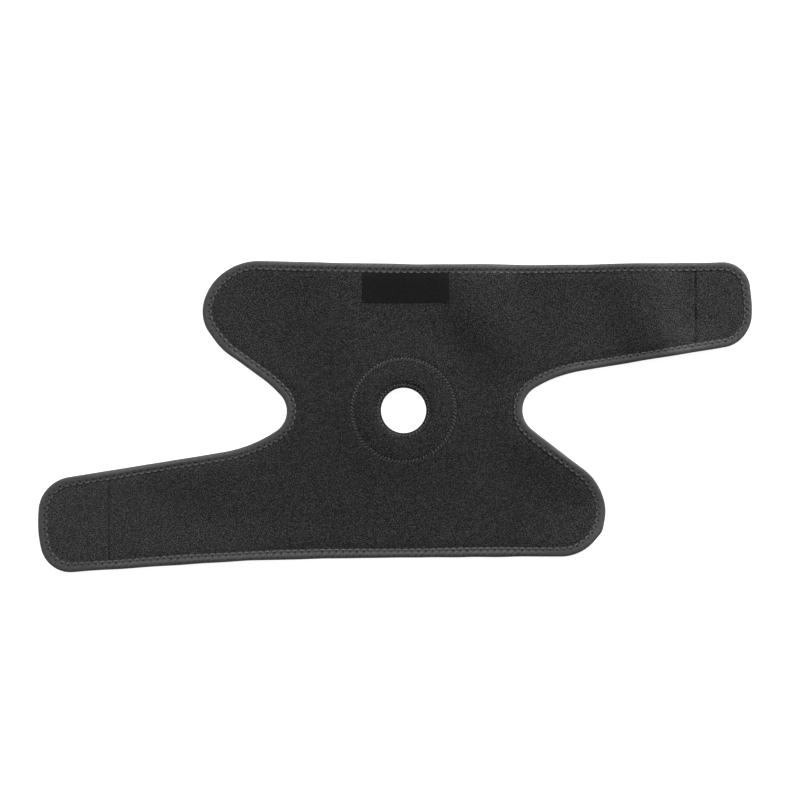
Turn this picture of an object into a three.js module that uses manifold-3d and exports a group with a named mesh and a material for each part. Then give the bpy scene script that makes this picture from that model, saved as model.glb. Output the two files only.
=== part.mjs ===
// Wrap-around knee brace with an open kneecap hole, opened out and laid flat with its outer face up.
// Millimetres, +Z up. The origin is the middle of the footprint, on the surface that the brace lies on.
import * as THREE from "three";
import { mergeVertices } from "three/addons/utils/BufferGeometryUtils.js";
import Module from "manifold-3d";

const wasm = await Module();
wasm.setup();

// Driving dimensions: cloth, tape and clearances
const PANEL_THICK = 3.5; // neoprene with fabric on both faces
const TAPE_THICK = 0.8;
const TAPE_WIDTH = 7.4; // reach of the folded tape over each face
const TAPE_NOSE = 2.4; // depth of the rounded fold round the edge
const PANEL_INSET = 2.6; // cut edge of the panel, behind the fold
const GAP = 0.35; // clearance between neighbouring pieces
const BASE_LIFT = TAPE_THICK + GAP; // the tape's lower half holds the panel this far up

// Driving dimensions: kneecap hole and the padded ring round it
const HOLE = { x: 7, y: 4.5, radius: 18.4 };
const PAD_INNER = 22;
const PAD_OUTER = 40;
const PAD_SIDES = 40;
const PAD_STEPS = 6;

// Driving dimensions: hook tabs under the strap ends, and the label on the face
const LEFT_SEAM = -228.5;
const RIGHT_SEAM = 240;
const SEAM_ALLOWANCE = 1.5; // the hook tape runs this far past its seam
const HOOK_THICK = 1.6;
const TAB_RAMP = { start: 40, end: 16 }; // distances from the seam where the panel climbs on to the hook tape
const LABEL = { x: 8.6, low: 90.6, width: 69, height: 30, thick: 0.6 }; // its top is trimmed to meet the tape

// Outline of the brace: a closed polygon, anticlockwise, with each corner rounded to an arc.
const OUTLINE = [
  { corner: "upper lobe, top", x: -138, y: 125, radius: 45.5 },
  { corner: "upper lobe, end", x: -158.5, y: 80.5, radius: 30 },
  { corner: "upper lobe, side", x: -138, y: 53, radius: 57.5 },
  { corner: "left bay, in", x: -99, y: 25, radius: 98.5 },
  { corner: "left bay, deepest", x: -75.5, y: 0.5, radius: 19.5 },
  { corner: "left bay, out", x: -115.5, y: -25.5, radius: 107.5 },
  { corner: "left strap, top", x: -282.5, y: -52.5, radius: 29 },
  { corner: "left strap, end", x: -286, y: -88.5, radius: 93 },
  { corner: "left strap, foot", x: -279, y: -126, radius: 24 },
  { corner: "bottom edge", x: -108, y: -114.5, radius: 2000 },
  { corner: "lower lobe, foot", x: 182, y: -111.5, radius: 36 },
  { corner: "lower lobe, side", x: 161.5, y: -50.5, radius: 45.5 },
  { corner: "right bay, in", x: 115.5, y: -16, radius: 77.5 },
  { corner: "right bay, deepest", x: 87, y: 8.5, radius: 20.5 },
  { corner: "right bay, out", x: 130.5, y: 33.5, radius: 106.5 },
  { corner: "right strap, foot", x: 284.5, y: 58.5, radius: 26 },
  { corner: "right strap, end", x: 285.5, y: 89.5, radius: 119 },
  { corner: "right strap, top", x: 281.5, y: 123, radius: 22 },
  { corner: "top edge", x: 46, y: 119.5, radius: 6000 },
];

// How far the pad lifts the panel, by distance from the middle of the hole.
// Both stitched circles are drawn down, and the pad swells between them.
const RING_RISE = [
  { radius: HOLE.radius, rise: 1.7 },
  { radius: 20.6, rise: 1.7 },
  { radius: 25, rise: 2.8 },
  { radius: 31, rise: 3.3 },
  { radius: 36.5, rise: 2.8 },
  { radius: 41, rise: 1.5 },
  { radius: 46, rise: 1.3 },
  { radius: 54, rise: 0.6 },
  { radius: 64, rise: 0 },
];

// Soft ridges left by folding. Each crest runs along its heading and fades out at its two half sizes.
const FOLDS = [
  { ridge: "right strap, root", x: 80, y: 79, heading: -65, along: 90, across: 34, height: 2.8 },
  { ridge: "right strap, before the tab", x: 201, y: 85, heading: 90, along: 80, across: 32, height: 2.6 },
  { ridge: "lower lobe, edge of the bay", x: 135, y: -32, heading: -36, along: 60, across: 36, height: 2 },
  { ridge: "left strap, upper edge", x: -150, y: -46, heading: 171, along: 74, across: 34, height: 1.6 },
];

// Mesh density
const MAX_STEP = 10; // longest run between two points of the outline
const MIN_STEP = 2; // shortest run
const MAX_TURN = THREE.MathUtils.degToRad(15); // most turn between two points of an arc
const FOLD_STEPS = { outside: 4, inside: 2 }; // round the fold of the tape
const SHEET_SIDES = 72;
const SHEET_STEP = 10;
const SHEET_REACH = 334; // past the furthest strap end, measured from the hole
const CUT_HEIGHT = 40; // taller than anything that a die cuts
const STRAIGHT = 0.001; // twice the area, in square millimetres, of three points that count as in line

const FINISH = {
  panel: { color: 0x313131, roughness: 0.95 },
  tape: { color: 0x4c4c4c, roughness: 0.8 },
  pad: { color: 0x2b2b2b, roughness: 0.9 },
  hook: { color: 0x1e1e1e, roughness: 0.6 },
  label: { color: 0x1d1d1d, roughness: 0.45 },
};

// The rounded outline as points, with arcs and long runs divided.
function roundedOutline(corners) {
  const path = new THREE.Path();
  corners.forEach(({ x, y, radius }, i) => {
    const here = new THREE.Vector2(x, y);
    const toBefore = new THREE.Vector2().copy(corners.at(i - 1)).sub(here).normalize();
    const toAfter = new THREE.Vector2().copy(corners[(i + 1) % corners.length]).sub(here).normalize();
    const half = toBefore.angleTo(toAfter) / 2;
    const middle = toBefore.clone().add(toAfter).normalize();
    const centre = here.clone().addScaledVector(middle, radius / Math.sin(half));
    const start = here.clone().addScaledVector(toBefore, radius / Math.tan(half)).sub(centre);
    const end = here.clone().addScaledVector(toAfter, radius / Math.tan(half)).sub(centre);
    path.absarc(centre.x, centre.y, radius, start.angle(), end.angle(), start.cross(end) < 0);
  });
  path.closePath();
  const points = path.curves.flatMap((curve) => {
    const turn = curve.isEllipseCurve ? curve.getLength() / curve.xRadius : 0;
    const steps = Math.ceil(Math.max(curve.getLength() / MAX_STEP, turn / MAX_TURN));
    return curve.getPoints(steps).slice(0, -1);
  });
  return points.filter((point, i) => point.distanceTo(points[(i + 1) % points.length]) > MIN_STEP);
}

// Unit vectors into the brace at each point of an anticlockwise outline.
function inwardNormals(points) {
  return points.map((_, i) => {
    const along = points[(i + 1) % points.length].clone().sub(points.at(i - 1)).normalize();
    return new THREE.Vector2(-along.y, along.x);
  });
}

const outline = roundedOutline(OUTLINE);
const inward = inwardNormals(outline);

function inset(distance) {
  return outline.map((point, i) => point.clone().addScaledVector(inward[i], distance));
}

// Rise over the pad at a distance from the middle of the hole, straight between the rows of the table.
function ringRise(distance) {
  const next = RING_RISE.findIndex((row) => row.radius > distance);
  if (next < 0) return 0;
  if (next === 0) return RING_RISE[0].rise;
  const [a, b] = [RING_RISE[next - 1], RING_RISE[next]];
  return THREE.MathUtils.mapLinear(distance, a.radius, b.radius, a.rise, b.rise);
}

// Climb on to the hook tape at either strap end.
function tabRise(x) {
  const climb = (past, seam) =>
    THREE.MathUtils.smoothstep(past, seam - TAB_RAMP.start, seam - TAB_RAMP.end);
  return (HOOK_THICK + GAP - BASE_LIFT) * (climb(x, RIGHT_SEAM) + climb(-x, -LEFT_SEAM));
}

function foldRise(x, y) {
  const fade = (share) => (Math.abs(share) < 1 ? Math.cos((share * Math.PI) / 2) ** 2 : 0);
  return FOLDS.reduce((sum, fold) => {
    const crest = THREE.MathUtils.degToRad(fold.heading);
    const along = (x - fold.x) * Math.cos(crest) + (y - fold.y) * Math.sin(crest);
    const across = (y - fold.y) * Math.cos(crest) - (x - fold.x) * Math.sin(crest);
    return sum + fold.height * fade(along / fold.along) * fade(across / fold.across);
  }, 0);
}

// Height of the panel's underside where it lies.
function restHeight(x, y) {
  const fromHole = Math.hypot(x - HOLE.x, y - HOLE.y);
  return BASE_LIFT + ringRise(fromHole) + tabRise(x) + foldRise(x, y);
}

function geometryOf(positions, triangles) {
  const geometry = new THREE.BufferGeometry();
  geometry.setAttribute("position", new THREE.Float32BufferAttribute(positions, 3));
  geometry.setIndex(triangles);
  return geometry;
}

// Closes a grid of points that wraps both ways, as a ring has, with its faces out.
function closedRing(loops) {
  const count = loops[0].length;
  const triangles = [];
  loops.forEach((_, i) => {
    const next = (i + 1) % loops.length;
    for (let j = 0; j < count; j++) {
      const k = (j + 1) % count;
      const [a, b, c, d] = [i * count + j, i * count + k, next * count + k, next * count + j];
      triangles.push(a, b, c, a, c, d);
    }
  });
  return geometryOf(loops.flat(2), triangles);
}

function solidOf(geometry) {
  const bare = geometry.clone();
  bare.deleteAttribute("normal");
  bare.deleteAttribute("uv");
  const merged = mergeVertices(bare);
  return new wasm.Manifold(
    new wasm.Mesh({
      numProp: 3,
      vertProperties: merged.attributes.position.array,
      triVerts: new Uint32Array(merged.index.array),
    }),
  );
}

function geometryFrom(solid) {
  const mesh = solid.getMesh();
  return geometryOf(Array.from(mesh.vertProperties), Array.from(mesh.triVerts));
}

// A sheet that lies over the pad, the tabs and the folds.
// Its two faces are heights above the panel's underside.
function laidSheet(bottom, top) {
  const radii = RING_RISE.map((row) => row.radius);
  for (let radius = radii.at(-1) + SHEET_STEP; radius <= SHEET_REACH; radius += SHEET_STEP) {
    radii.push(radius);
  }
  const loops = [];
  for (let side = 0; side < SHEET_SIDES; side++) {
    const angle = (2 * Math.PI * side) / SHEET_SIDES;
    const row = (height) =>
      radii.map((radius) => {
        const x = HOLE.x + radius * Math.cos(angle);
        const y = HOLE.y + radius * Math.sin(angle);
        return [x, y, restHeight(x, y) + height];
      });
    loops.push([...row(top), ...row(bottom).reverse()]);
  }
  return solidOf(closedRing(loops));
}

// A straight-sided cutter in the shape of a loop of points. Points along a straight run are left out.
function die(points) {
  const corners = points.filter((point, i) => {
    const before = point.clone().sub(points.at(i - 1));
    const after = points[(i + 1) % points.length].clone().sub(point);
    return Math.abs(before.cross(after)) > STRAIGHT;
  });
  const shape = new THREE.Shape(corners);
  const block = new THREE.ExtrudeGeometry(shape, { depth: CUT_HEIGHT, bevelEnabled: false });
  return solidOf(block.translate(0, 0, -CUT_HEIGHT / 2));
}

// Everything that the tape leaves clear.
function insideTape() {
  return die(inset(TAPE_WIDTH + GAP));
}

// Everything on the outer side of a tab's seam.
function beyondSeam(seam) {
  const side = Math.sign(seam);
  const edge = seam - side * SEAM_ALLOWANCE;
  const block = new THREE.BoxGeometry(SHEET_REACH, 2 * SHEET_REACH, CUT_HEIGHT);
  return solidOf(block.translate(edge + (side * SHEET_REACH) / 2, 0, 0));
}

// Neoprene panel, die-cut from one laminated sheet.
function panelGeometry() {
  return geometryFrom(laidSheet(0, PANEL_THICK).intersect(die(inset(PANEL_INSET))));
}

// Section of the folded tape as [distance in from the edge, height above the panel's underside].
function tapeSection() {
  const middle = PANEL_THICK / 2;
  const nose = (depth, halfHeight, steps) =>
    Array.from({ length: steps + 1 }, (_, i) => {
      const angle = (Math.PI * i) / steps;
      return [TAPE_NOSE - depth * Math.sin(angle), middle + halfHeight * Math.cos(angle)];
    });
  const inside = middle + GAP;
  const outside = inside + TAPE_THICK;
  return [
    [TAPE_WIDTH, middle + outside],
    ...nose(TAPE_NOSE, outside, FOLD_STEPS.outside),
    [TAPE_WIDTH, middle - outside],
    [TAPE_WIDTH, middle - inside],
    ...nose(TAPE_NOSE - TAPE_THICK, inside, FOLD_STEPS.inside).reverse(),
    [TAPE_WIDTH, middle + inside],
  ];
}

// Binding tape, folded over the edge all the way round.
function bindingGeometry() {
  const section = tapeSection();
  const seat = inset(TAPE_WIDTH / 2);
  return closedRing(
    outline.map((point, i) => {
      const height = restHeight(seat[i].x, seat[i].y);
      return section.map(([depth, z]) => {
        const at = point.clone().addScaledVector(inward[i], depth);
        return [at.x, at.y, height + z];
      });
    }),
  );
}

// Crowned ring of padding under the panel, flat on its lower side. It is turned about Y, and stands up later.
function padGeometry() {
  const profile = [];
  for (let step = 0; step <= PAD_STEPS; step++) {
    const radius = THREE.MathUtils.lerp(PAD_OUTER, PAD_INNER, step / PAD_STEPS);
    profile.push(new THREE.Vector2(radius, BASE_LIFT + ringRise(radius) - GAP));
  }
  profile.push(new THREE.Vector2(PAD_INNER, 0), new THREE.Vector2(PAD_OUTER, 0), profile[0].clone());
  return new THREE.LatheGeometry(profile, PAD_SIDES);
}

// Hook tape sewn under a strap end, inside the binding.
function hookGeometry(seam) {
  const sheet = laidSheet(-GAP - HOOK_THICK, -GAP);
  return geometryFrom(sheet.intersect(insideTape()).intersect(beyondSeam(seam)));
}

// Bare label on the face, its upper edge against the tape.
function labelGeometry() {
  const half = LABEL.width / 2;
  const corners = [[-half, 0], [half, 0], [half, LABEL.height], [-half, LABEL.height]];
  const rectangle = corners.map(([x, y]) => new THREE.Vector2(LABEL.x + x, LABEL.low + y));
  const face = PANEL_THICK + GAP;
  const sheet = laidSheet(face, face + LABEL.thick);
  return geometryFrom(sheet.intersect(die(rectangle)).intersect(insideTape()));
}

function piece(name, geometry, finish) {
  const mesh = new THREE.Mesh(geometry, new THREE.MeshStandardMaterial({ ...finish, metalness: 0 }));
  mesh.name = name;
  return mesh;
}

const pad = piece("patella_pad", padGeometry(), FINISH.pad);
pad.position.set(HOLE.x, HOLE.y, 0);
pad.rotation.x = Math.PI / 2;

const brace = new THREE.Group();
brace.add(
  piece("panel", panelGeometry(), FINISH.panel),
  piece("edge_binding", bindingGeometry(), FINISH.tape),
  pad,
  piece("hook_tab_left", hookGeometry(LEFT_SEAM), FINISH.hook),
  piece("hook_tab_right", hookGeometry(RIGHT_SEAM), FINISH.hook),
  piece("label", labelGeometry(), FINISH.label),
);

export default brace;
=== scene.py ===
# %% [markdown]
# A wrap-around knee brace, laid flat with its outer face up.
#
# The real thing is sewn from one sheet of foam with fabric on both faces. A tape binds the edge, a pad
# lifts a ring round the kneecap hole, and hook tape under the strap ends grips the looped face when it is
# wrapped. The solids in the frame already have the size and the place of every piece. This lesson makes
# the cloth, and keeps to them.

# %% Load the frame
from math import pi, radians

import bmesh
import bpy
import numpy as np
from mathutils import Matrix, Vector, noise
from mathutils.geometry import delaunay_2d_cdt
from mathutils.kdtree import KDTree


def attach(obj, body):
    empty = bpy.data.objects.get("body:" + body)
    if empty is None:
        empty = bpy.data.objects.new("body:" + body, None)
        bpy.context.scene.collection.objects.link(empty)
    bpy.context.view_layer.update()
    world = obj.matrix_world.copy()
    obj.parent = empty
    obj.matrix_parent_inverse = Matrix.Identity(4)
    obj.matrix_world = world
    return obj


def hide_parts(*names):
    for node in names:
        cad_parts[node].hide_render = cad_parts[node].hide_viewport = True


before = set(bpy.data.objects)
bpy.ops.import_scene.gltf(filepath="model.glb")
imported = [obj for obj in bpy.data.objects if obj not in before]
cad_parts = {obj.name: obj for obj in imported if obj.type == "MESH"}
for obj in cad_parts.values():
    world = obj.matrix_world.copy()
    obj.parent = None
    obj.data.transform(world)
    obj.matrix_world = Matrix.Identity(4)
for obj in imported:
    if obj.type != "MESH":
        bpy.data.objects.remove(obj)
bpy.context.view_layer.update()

MM = 0.001


print("CAD nodes:", sorted(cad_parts))

# %% [markdown]
# The brace is drawn in millimetres, as its pattern would be, and each finished mesh is turned to metres
# once. The outline could be traced point by point, but a polygon with rounded corners is shorter and
# easier to correct. A rounded corner is an arc that touches both its edges, so a row needs only the
# corner and the radius.

# %% Outline of the brace
OUTLINE = [  # corner, x, y, radius
    ("upper lobe, top", -138.0, 125.0, 45.5),
    ("upper lobe, end", -158.5, 80.5, 30.0),
    ("upper lobe, side", -138.0, 53.0, 57.5),
    ("left bay, in", -99.0, 25.0, 98.5),
    ("left bay, deepest", -75.5, 0.5, 19.5),
    ("left bay, out", -115.5, -25.5, 107.5),
    ("left strap, top", -282.5, -52.5, 29.0),
    ("left strap, end", -286.0, -88.5, 93.0),
    ("left strap, foot", -279.0, -126.0, 24.0),
    ("bottom edge", -108.0, -114.5, 2000.0),
    ("lower lobe, foot", 182.0, -111.5, 36.0),
    ("lower lobe, side", 161.5, -50.5, 45.5),
    ("right bay, in", 115.5, -16.0, 77.5),
    ("right bay, deepest", 87.0, 8.5, 20.5),
    ("right bay, out", 130.5, 33.5, 106.5),
    ("right strap, foot", 284.5, 58.5, 26.0),
    ("right strap, end", 285.5, 89.5, 119.0),
    ("right strap, top", 281.5, 123.0, 22.0),
    ("top edge", 46.0, 119.5, 6000.0),
]
ARC_POINTS = 40
RIM_STEP = 0.5


def unit(vectors):
    return vectors / np.linalg.norm(vectors, axis=-1, keepdims=True)


def rounded(corners):
    """Points along a closed polygon with its corners rounded to arcs."""
    places = np.array([row[1:3] for row in corners])
    arcs = []
    for before, here, after, row in zip(np.roll(places, 1, 0), places, np.roll(places, -1, 0), corners):
        radius = row[3]
        back = unit(before - here)
        on = unit(after - here)
        half = np.arccos(back @ on) / 2
        centre = here + unit(back + on) * radius / np.sin(half)
        start = here + back * radius / np.tan(half) - centre
        end = here + on * radius / np.tan(half) - centre
        first = np.arctan2(start[1], start[0])
        turn = (np.arctan2(end[1], end[0]) - first + pi) % (2 * pi) - pi
        angles = first + turn * np.linspace(0, 1, ARC_POINTS)
        arcs.append(centre + radius * np.column_stack([np.cos(angles), np.sin(angles)]))
    return np.vstack(arcs)


def run_of(points):
    """Distance run at each point of a closed line, and at its first point again."""
    steps = np.linalg.norm(np.roll(points, -1, 0) - points, axis=1)
    return np.concatenate([[0], np.cumsum(steps)])


def evenly(points, count, run=None):
    """A closed line at equal steps of its own length, or of another run given at its points."""
    run = run_of(points) if run is None else run
    at = run[-1] * np.arange(count) / count
    ring = np.vstack([points, points[:1]])
    return np.column_stack([np.interp(at, run, column) for column in ring.T])


corner_line = rounded(OUTLINE)
rim_length = run_of(corner_line)[-1]
rim = evenly(corner_line, int(rim_length / RIM_STEP))
print("outer edge:", round(rim_length), "mm round,", len(rim), "points")

# %% [markdown]
# Tape, pinch and sag all depend on how far a place lies inside the edge. A tree of the rim's points finds
# the nearest one at once, and the distance along the inward direction there is the depth.

# %% Depth inside the edge
rim_heading = unit(np.roll(rim, -1, 0) - np.roll(rim, 1, 0))
rim_inward = np.column_stack([-rim_heading[:, 1], rim_heading[:, 0]])
rim_tree = KDTree(len(rim))
for number, (x, y) in enumerate(rim):
    rim_tree.insert((x, y, 0), number)
rim_tree.balance()


def nearest_rim(points):
    return np.array([rim_tree.find((x, y, 0))[1] for x, y in points])


def depth_inside(points):
    """How far each point lies inside the outer edge. Less than zero is outside."""
    nearest = nearest_rim(points)
    return np.einsum("ij,ij->i", points - rim[nearest], rim_inward[nearest])


print("depth at the middle:", round(float(depth_inside(np.zeros((1, 2)))[0]), 1), "mm")

# %% [markdown]
# Soft shapes are sums of smooth steps and humps. A few short functions give them all: a step that rises
# between two values, a hump that ends at a set distance, and a hump that dies away like a bell.

# %% Smooth steps and humps
def ease(share):
    share = np.clip(share, 0, 1)
    return share * share * (3 - 2 * share)


def rising(value, low, high):
    """Nothing below the low value, one above the high value, and smooth between."""
    return ease((value - low) / (high - low))


def fade(share):
    """One at nothing, and nothing from one on."""
    return np.where(np.abs(share) < 1, np.cos(np.clip(share, -1, 1) * pi / 2) ** 2, 0)


def hump(distance, width):
    """One at the middle, and falling away to nothing over about twice the width."""
    return np.exp(-((distance / width) ** 2))


print("half way up a step:", rising(1.5, 1.0, 2.0))

# %% [markdown]
# Under the panel a pad lifts a ring round the kneecap hole. The ring rises from the hole, is highest over
# the pad and falls away slowly. It leans: on the label's side it is a little higher and wider. A short
# table of radius and rise gives its section, and taking the mean of a few near radii rounds the table's
# corners.

# %% Rise over the pad
HOLE = np.array([7.0, 4.5])
HOLE_RADIUS = 18.4
RING_RISE = np.array([  # radius, rise
    (18.4, 2.5), (20.6, 2.6), (24.0, 3.1), (26.5, 3.2), (29.0, 3.1), (33.0, 2.7), (37.0, 2.1), (41.0, 1.5),
    (46.0, 0.9), (52.0, 0.4), (60.0, 0.1), (68.0, 0.0),
])
RING_TOP = 26.5
RING_LEAN = (75.0, 0.35, 0.25)  # heading in degrees, share higher, share wider
RING_BLUR = np.linspace(-1.5, 1.5, 5)


def from_hole(x, y):
    return np.hypot(x - HOLE[0], y - HOLE[1])


def heading_from_hole(x, y):
    return np.arctan2(y - HOLE[1], x - HOLE[0])


def ring_rise(x, y):
    """Rise over the pad, which is higher and falls away more slowly on the label's side."""
    heading, higher, wider = RING_LEAN
    toward = (1 + np.cos(heading_from_hole(x, y) - radians(heading))) / 2
    away = from_hole(x, y)
    away = np.where(away > RING_TOP, RING_TOP + (away - RING_TOP) / (1 + wider * toward), away)
    rise = np.mean([np.interp(away + shift, *RING_RISE.T) for shift in RING_BLUR], axis=0)
    return rise * (1 + higher * toward)


print("top of the ring:", round(float(RING_RISE[:, 1].max()), 1), "mm up")

# %% [markdown]
# Cloth never lies quite flat. The hook tape lifts the strap ends, the middle sags between the stiff tape
# and the pad, and folding has left a few soft ridges. A cloth simulation could drop the brace on a table,
# but it wouldn't fold where the real one has been folded. So one function of x and y gives the height of
# the panel's underside, and every piece is laid on it: they all rise and fall together.

# %% How the brace lies
PANEL_THICK = 3.5
BASE_LIFT = 1.15
TAPE_WIDTH = 7.4
LEFT_SEAM = -228.5
RIGHT_SEAM = 240.0
TAB_RISE = 0.8
TAB_RAMP = (40.0, 16.0)  # before the seam: where the rise begins and where it ends
SAG = 0.95
SAG_REACH = 24.0
RING_HALO = (46.0, 72.0)  # radii where the sag begins and where it is full
FOLDS = [  # ridge, x, y, heading, half length, reach to its left, reach to its right, height
    ("right strap, root", 66.0, 88.0, -74.0, 72.0, 46.0, 34.0, 4.8),
    ("right strap, above its root", 66.0, 88.0, -74.0, 72.0, 46.0, 90.0, 4.8),
    ("right strap, before the tab", 207.0, 85.0, 94.0, 80.0, 50.0, 29.0, 9.6),
    ("right strap, its lower edge", 208.0, 60.0, 97.0, 42.0, 30.0, 50.0, 2.6),
    ("right strap, under the tab", 232.0, 46.0, 90.0, 34.0, 28.0, 60.0, 4.5),
    ("upper lobe, beside the label", -45.0, 86.0, 90.0, 70.0, 56.0, 40.0, 2.6),
    ("lower lobe, edge of the bay", 125.0, -25.0, -36.0, 66.0, 40.0, 46.0, 3.5),
    ("lower lobe, foot", 142.0, -110.0, 0.0, 64.0, 46.0, 36.0, 4.8),
    ("left strap, upper edge", -150.0, -46.0, 171.0, 74.0, 40.0, 40.0, 2.4),
    ("left strap, lower edge", -145.0, -117.0, 2.0, 86.0, 40.0, 40.0, 2.2),
]


def lie(x, y):
    """Height of the panel's underside."""
    start, end = TAB_RAMP
    right = rising(x, RIGHT_SEAM - start, RIGHT_SEAM - end)
    left = rising(-x, -LEFT_SEAM - start, -LEFT_SEAM - end)
    inside = depth_inside(np.column_stack([x, y]))
    sag = SAG * rising(inside, TAPE_WIDTH, TAPE_WIDTH + SAG_REACH)
    sag = sag * rising(from_hole(x, y), *RING_HALO) * (1 - left - right)
    height = BASE_LIFT + ring_rise(x, y) + TAB_RISE * (left + right) - sag
    for _, fold_x, fold_y, heading, length, left_reach, right_reach, rise in FOLDS:
        turn = radians(heading)
        along = (x - fold_x) * np.cos(turn) + (y - fold_y) * np.sin(turn)
        across = (y - fold_y) * np.cos(turn) - (x - fold_x) * np.sin(turn)
        reach = np.where(across > 0, left_reach, right_reach)
        height = height + rise * fade(along / length) * fade(across / reach)
    return height


hole_edge = np.array([HOLE + (HOLE_RADIUS, 0)])
print("lie at the hole's edge:", round(float(lie(*hole_edge.T)[0]), 2), "mm up")

# %% [markdown]
# A few helpers. Materials and node trees are built in code, so one small function adds a node, gives it
# its settings and links its inputs. Colours are read off as sRGB hex and turned to the linear values that
# Blender works in.

# %% Helpers for nodes and colours
WAVE = 2 * pi / 20  # the wave texture's period times its scale


def linear(code):
    """An sRGB hex colour as linear red, green, blue and alpha."""
    parts = [int(code[i:i + 2], 16) / 255 for i in (1, 3, 5)]
    return tuple(((c + 0.055) / 1.055) ** 2.4 if c > 0.04045 else c / 12.92 for c in parts) + (1.0,)


def join(tree, node, inputs):
    """Fills a node's inputs. An input is a socket to link from or a value to set."""
    for key, value in inputs.items():
        if isinstance(value, bpy.types.NodeSocket):
            tree.links.new(value, node.inputs[key])
        else:
            node.inputs[key].default_value = value


def add(tree, kind, inputs=None, stops=(), **settings):
    """Adds a node. Stops are a ramp's colours, each a place from 0 to 1 and a hex colour."""
    made = tree.nodes.new(kind)
    for name, value in settings.items():
        setattr(made, name, value)
    join(tree, made, inputs or {})
    if stops:
        colours = made.color_ramp.elements
        while len(colours) < len(stops):
            colours.new(0.5)
        for element, (at, code) in zip(colours, stops):
            element.position = at
            element.color = linear(code)
    return made


def new_material(name, roughness, specular):
    """A material with its shader, its tree and its texture coordinates."""
    material = bpy.data.materials.new(name)
    material.use_nodes = True
    tree = material.node_tree
    shader = tree.nodes["Principled BSDF"]
    join(tree, shader, {"Roughness": roughness, "Specular IOR Level": specular})
    return material, tree, shader, add(tree, "ShaderNodeTexCoord")


print("charcoal in linear light:", [round(value, 3) for value in linear("#303030")])

# %% [markdown]
# Meshes are drawn in millimetres and stored in metres. Blender turns the faces of a closed piece
# outwards, so the order of their corners needs no care. A value kept at each point lets a material or a
# tree read it later.

# %% Helpers for meshes
def put_in_scene(name, data):
    """A new object at the origin."""
    made = bpy.data.objects.new(name, data)
    bpy.context.scene.collection.objects.link(made)
    return made


def plain_mesh(name, points, faces, materials=(), slots=None):
    """A smooth mesh from points in millimetres."""
    mesh = bpy.data.meshes.new(name)
    mesh.from_pydata((np.asarray(points) * MM).tolist(), [], faces)
    for material in materials:
        mesh.materials.append(material)
    if slots is not None:
        mesh.polygons.foreach_set("material_index", np.asarray(slots, np.int32))
    mesh.polygons.foreach_set("use_smooth", np.ones(len(mesh.polygons), bool))
    return mesh


def mesh_piece(name, points, faces, materials=()):
    """A closed piece with its faces turned outwards."""
    mesh = plain_mesh(name, points, np.asarray(faces).tolist(), materials)
    shaped = bmesh.new()
    shaped.from_mesh(mesh)
    bmesh.ops.recalc_face_normals(shaped, faces=shaped.faces)
    shaped.to_mesh(mesh)
    shaped.free()
    return put_in_scene(name, mesh)


def mark_points(piece, name, values):
    """Keeps a value at each point of a piece, for a material or a node tree to read."""
    layer = piece.data.attributes.new(name, "FLOAT", "POINT")
    layer.data.foreach_set("value", np.ravel(values).astype(np.float32))


def triangles_in(piece):
    return sum(len(face.vertices) - 2 for face in piece.data.polygons)


print("mesh helpers ready")

# %% [markdown]
# The panel's face is brushed nylon loop fabric. To the eye it is a dull charcoal grain: pale yarn tips
# over dark hollows, about a millimetre apart. A photo of cloth could be wrapped on it, but a noise at
# that size has no seams and no end. It colours and roughens the face here, and the yarn loops come later
# as geometry.

# %% Brushed nylon loop fabric
CLOTH_SHINE = 0.12
GRAIN = 0.8
NOISE_TURN = (0.5, 0.7, 0.3)  # keeps the noise's own lattice from lining up with the face
CLOUD = 30.0
DYE = (0.95, 1.05)  # darkest and palest patches of dye, as shares of the colour
# Painted light: towards the strap ends the cloth is painted paler, as if more light fell there.
PAINTED_LIGHT_AT_ENDS = [  # from x, to x, how much paler the pile is there
    (-80.0, -280.0, 0.54),
    (110.0, 280.0, 0.29),
]
# Painted light: a grey added towards the strap ends, and how much more of the colour shows there.
END_LIGHT_GREY = "#181818"
END_LIGHT_SCALE = 0.5


def dye_and_painted_light(tree, at, colour):
    """The colour in patches of dye, with painted light that makes it paler towards the strap ends."""
    cloud = add(tree, "ShaderNodeTexNoise", {
        "Vector": at.outputs["Object"], "Scale": 1 / (CLOUD * MM), "Detail": 2.0})
    tone = add(tree, "ShaderNodeMapRange", {
        "Value": cloud.outputs["Fac"], "To Min": DYE[0], "To Max": DYE[1]}).outputs[0]
    x = add(tree, "ShaderNodeSeparateXYZ", {0: at.outputs["Object"]}).outputs["X"]
    painted_light_share = 0.0
    for start, end, paler in PAINTED_LIGHT_AT_ENDS:
        near_end = add(tree, "ShaderNodeMapRange", {
            "Value": x, "From Min": start * MM, "From Max": end * MM, "To Min": 0.0, "To Max": paler})
        painted_light_share = add(tree, "ShaderNodeMath", {0: painted_light_share, 1: near_end.outputs[0]}, operation="ADD").outputs[0]
    stronger = add(tree, "ShaderNodeMath", {0: painted_light_share, 1: END_LIGHT_SCALE, 2: tone}, operation="MULTIPLY_ADD")
    scaled = add(tree, "ShaderNodeVectorMath", {0: colour, "Scale": stronger.outputs[0]}, operation="SCALE")
    filled = add(tree, "ShaderNodeVectorMath", {0: linear(END_LIGHT_GREY)[:3], "Scale": painted_light_share}, operation="SCALE")
    return add(tree, "ShaderNodeVectorMath", {
        0: scaled.outputs["Vector"], 1: filled.outputs["Vector"]}, operation="ADD").outputs["Vector"]


def with_painted_shade(tree, colour, dark):
    """The colour, with painted shade where the mesh carries it: needle holes, seam grooves, notches and taut
    tape.
    """
    hole = add(tree, "ShaderNodeAttribute", attribute_name="painted_shade")
    return add(tree, "ShaderNodeMix", {
        "Factor": hole.outputs["Fac"], 6: colour, 7: linear(dark)}, data_type="RGBA").outputs[2]


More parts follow.
